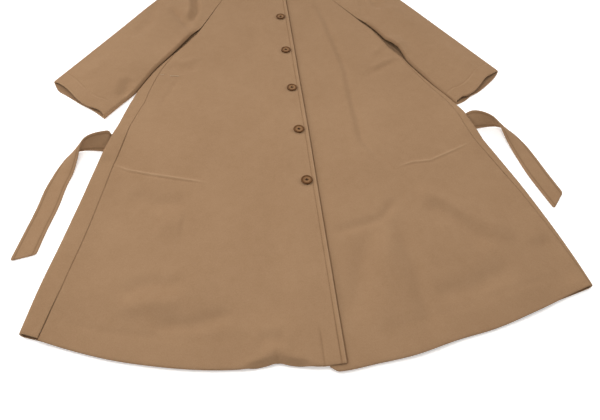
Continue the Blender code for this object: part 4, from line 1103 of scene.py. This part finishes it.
# %% Stitches
def stitches(name, path, spacing, length, radius, proud, material):
    """A row of stitches along a path of (x, y), laid on the right front."""
    work = bmesh.new()
    for start, end in zip(path, path[1:]):
        start, end = Vector(start), Vector(end)
        count = max(1, int((end - start).length / spacing))
        half = (end - start).normalized().to_3d() * length / 2
        for number in range(count):
            centre = start + (end - start) * ((number + 0.5) / count)
            spot = Vector((centre.x, centre.y, on_right_front(*centre) + radius * proud))
            bar(work, spot - half, spot + half, radius * 0.8, 6)
    print(name, "faces", len(work.faces))
    return object_of(name, work, material)


edge_x = line_by(FRONT_EDGE, 1, 0)
edge_path = [(float(edge_x(y)) - STITCH_INSET, float(y)) for y in np.linspace(-0.522, 0.425, 60)]
edge_stitches = stitches("coat_edge_stitches", edge_path, spacing=0.0034, length=0.0024, radius=0.00026,
                         proud=0.25, material=wool_thread)
TACK_LINES = mm((((-240.8, 111.4), (-233.9, 111)), ((-222, 107), (-204.2, 105.5))))
tack_work = [stitches(f"coat_pocket_tack_{number}", line, spacing=0.0006, length=0.0012, radius=0.00060,
                      proud=0.60, material=pale_thread) for number, line in enumerate(TACK_LINES, 1)]

# %% [markdown]
# ## Pocket bags
# The bags lie flat between the fronts and the back and can't be seen. Their solids stay, in a plain
# tight cotton: a fine plain weave over and under at half a millimetre.


# %% Pocketing
def pocketing():
    """Plain brown pocket cotton."""
    material, tree, shader, place = new_material("pocket_cotton")
    spread = node_of(tree, "ShaderNodeMapping", sockets={"Vector": place, "Scale": (2000.0,) * 3})
    warp, weft = [node_of(tree, "ShaderNodeTexWave", {"bands_direction": axis},
                          {"Vector": spread, "Scale": 0.3}, output=1) for axis in "XY"]
    weave = warp * weft
    share = weave * 0.5 + noise(tree, place, 30.0) * 0.4
    set_shader(tree, shader, {"Roughness": 0.8},
               mixed(tree, share, (0.16, 0.09, 0.05, 1.0), (0.26, 0.155, 0.09, 1.0)), (0.3, 0.0002, weave))
    return material


pocket_cotton = pocketing()
for name in ("pocket_right", "pocket_left"):
    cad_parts[name].data.materials.clear()
    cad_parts[name].data.materials.append(pocket_cotton)
print("pocket bags:", pocket_cotton.name)

# %% [markdown]
# ## What each piece stands for
# Each new piece rides on the one body and stands for its solid, which is hidden. The table also lists
# each sheet of cloth's flat size and its area, measured on what shows, so with no seam allowances.

# %% Pieces, nodes, cuts
CUTS = (
    (front_right, "front_right", (0.445, 1.015), 0.288, ["front_left", "back"]),
    (front_left, "front_left", (0.430, 1.020), 0.285, ["back"]),
    (back_piece, "back", (0.900, 1.040), 0.590, ["belt"]),
    (sleeves["right_front"], "sleeve_right_front", (0.240, 0.560), 0.0780, ["sleeve_right_back"]),
    (sleeves["right_back"], "sleeve_right_back", (0.240, 0.560), 0.0765, ["coat_back"]),
    (sleeves["left_front"], "sleeve_left_front", (0.240, 0.560), 0.0735, ["sleeve_left_back"]),
    (sleeves["left_back"], "sleeve_left_back", (0.240, 0.560), 0.0725, ["coat_back"]),
    (collar_piece, "collar", (0.235, 0.565), 0.0542, ["front_right", "front_left"]),
    (belt_piece, "belt", (0.036, 1.215), 0.0437, ["coat_back"]),
)
sewn_on = [edge_stitches, *tack_work]
for piece, node, flat, area, below in CUTS:
    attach(piece, "root")
    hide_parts(node)
for number, (disc, sewn) in enumerate(buttons, 1):
    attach(disc, "root")
    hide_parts(f"button_{number}")
    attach(sewn, "root")
for sewn in sewn_on:
    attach(sewn, "root")
print("pieces:", len(CUTS) + 2 * len(buttons) + len(sewn_on))

# %% [markdown]
# ## Floor, light and camera
# A plain pale floor and wide soft lights leave almost no shadow, as in a catalogue picture. The floor
# has a little light of its own, so that it stays as white as paper. The camera stands above the hem and
# looks 51 degrees down, turned a little to the wearer's left.

# %% Floor
FLOOR_SIZE, FLOOR_BELOW = 12.0, 0.0002
floor_work = bmesh.new()
bmesh.ops.create_grid(floor_work, x_segments=1, y_segments=1, size=FLOOR_SIZE / 2)
floor_finish, _, floor_shader, _ = new_material("pale_floor")
for name, value in (("Base Color", (0.93, 0.93, 0.93, 1.0)), ("Roughness", 0.9),
                    ("Emission Color", (1.0, 1.0, 1.0, 1.0)), ("Emission Strength", 0.40)):
    floor_shader.inputs[name].default_value = value
floor_piece = object_of("floor", floor_work, floor_finish)
floor_piece.data.transform(Matrix.Translation((0, 0, -FLOOR_BELOW)))
print("floor:", FLOOR_SIZE, "m")

# %% Light
world = bpy.data.worlds.new("studio")
bpy.context.scene.world = world
world.use_nodes = True
world.node_tree.nodes["Background"].inputs["Color"].default_value = (1.0, 1.0, 1.0, 1.0)
world.node_tree.nodes["Background"].inputs["Strength"].default_value = 0.36
bpy.context.scene.view_settings.view_transform = "Standard"


def soft_box(name, spot, aim, size, energy):
    """A wide soft area light."""
    light = bpy.data.lights.new(name, "AREA")
    light.shape, light.size, light.size_y, light.energy = "RECTANGLE", *size, energy
    lamp = bpy.data.objects.new(name, light)
    lamp.location = spot
    lamp.rotation_mode = "QUATERNION"
    lamp.rotation_quaternion = (Vector(aim) - Vector(spot)).to_track_quat("-Z", "Y")
    bpy.context.scene.collection.objects.link(lamp)
    print(name, energy, "W")


soft_box("soft_box_above", (-0.15, -0.38, 1.25), (0.0, -0.25, 0.0), (0.6, 0.5), 7.6)
soft_box("soft_box_collar", (-0.3, 3.0, 2.1), (0.0, -0.1, 0.0), (1.6, 1.0), 38.0)
soft_box("soft_box_left", (-1.5, 0.3, 0.8), (0.0, -0.05, 0.0), (0.9, 0.6), 11.5)
soft_box("soft_box_right", (1.5, 0.3, 0.8), (0.0, -0.05, 0.0), (0.9, 0.6), 8.0)

# %% Camera
CAMERA_SPOT = (-0.0873, -0.8538, 0.754)
CAMERA_HEADING = Vector((0.1419, 0.9899, 0.0))
CAMERA_DOWN = math.radians(51.15)
CAMERA_ROLL = math.radians(2.187)
camera_data = bpy.data.cameras.new("camera")
camera_data.lens, camera_data.sensor_width = 35.0, 36.0
camera = bpy.data.objects.new("camera", camera_data)
looking = CAMERA_HEADING * math.cos(CAMERA_DOWN) - Vector((0.0, 0.0, math.sin(CAMERA_DOWN)))
camera.rotation_mode = "QUATERNION"
camera.rotation_quaternion = looking.to_track_quat("-Z", "Y") @ Quaternion((0, 0, 1), CAMERA_ROLL)
camera.location = CAMERA_SPOT
bpy.context.scene.collection.objects.link(camera)
bpy.context.scene.camera = camera
print("camera at", CAMERA_SPOT)
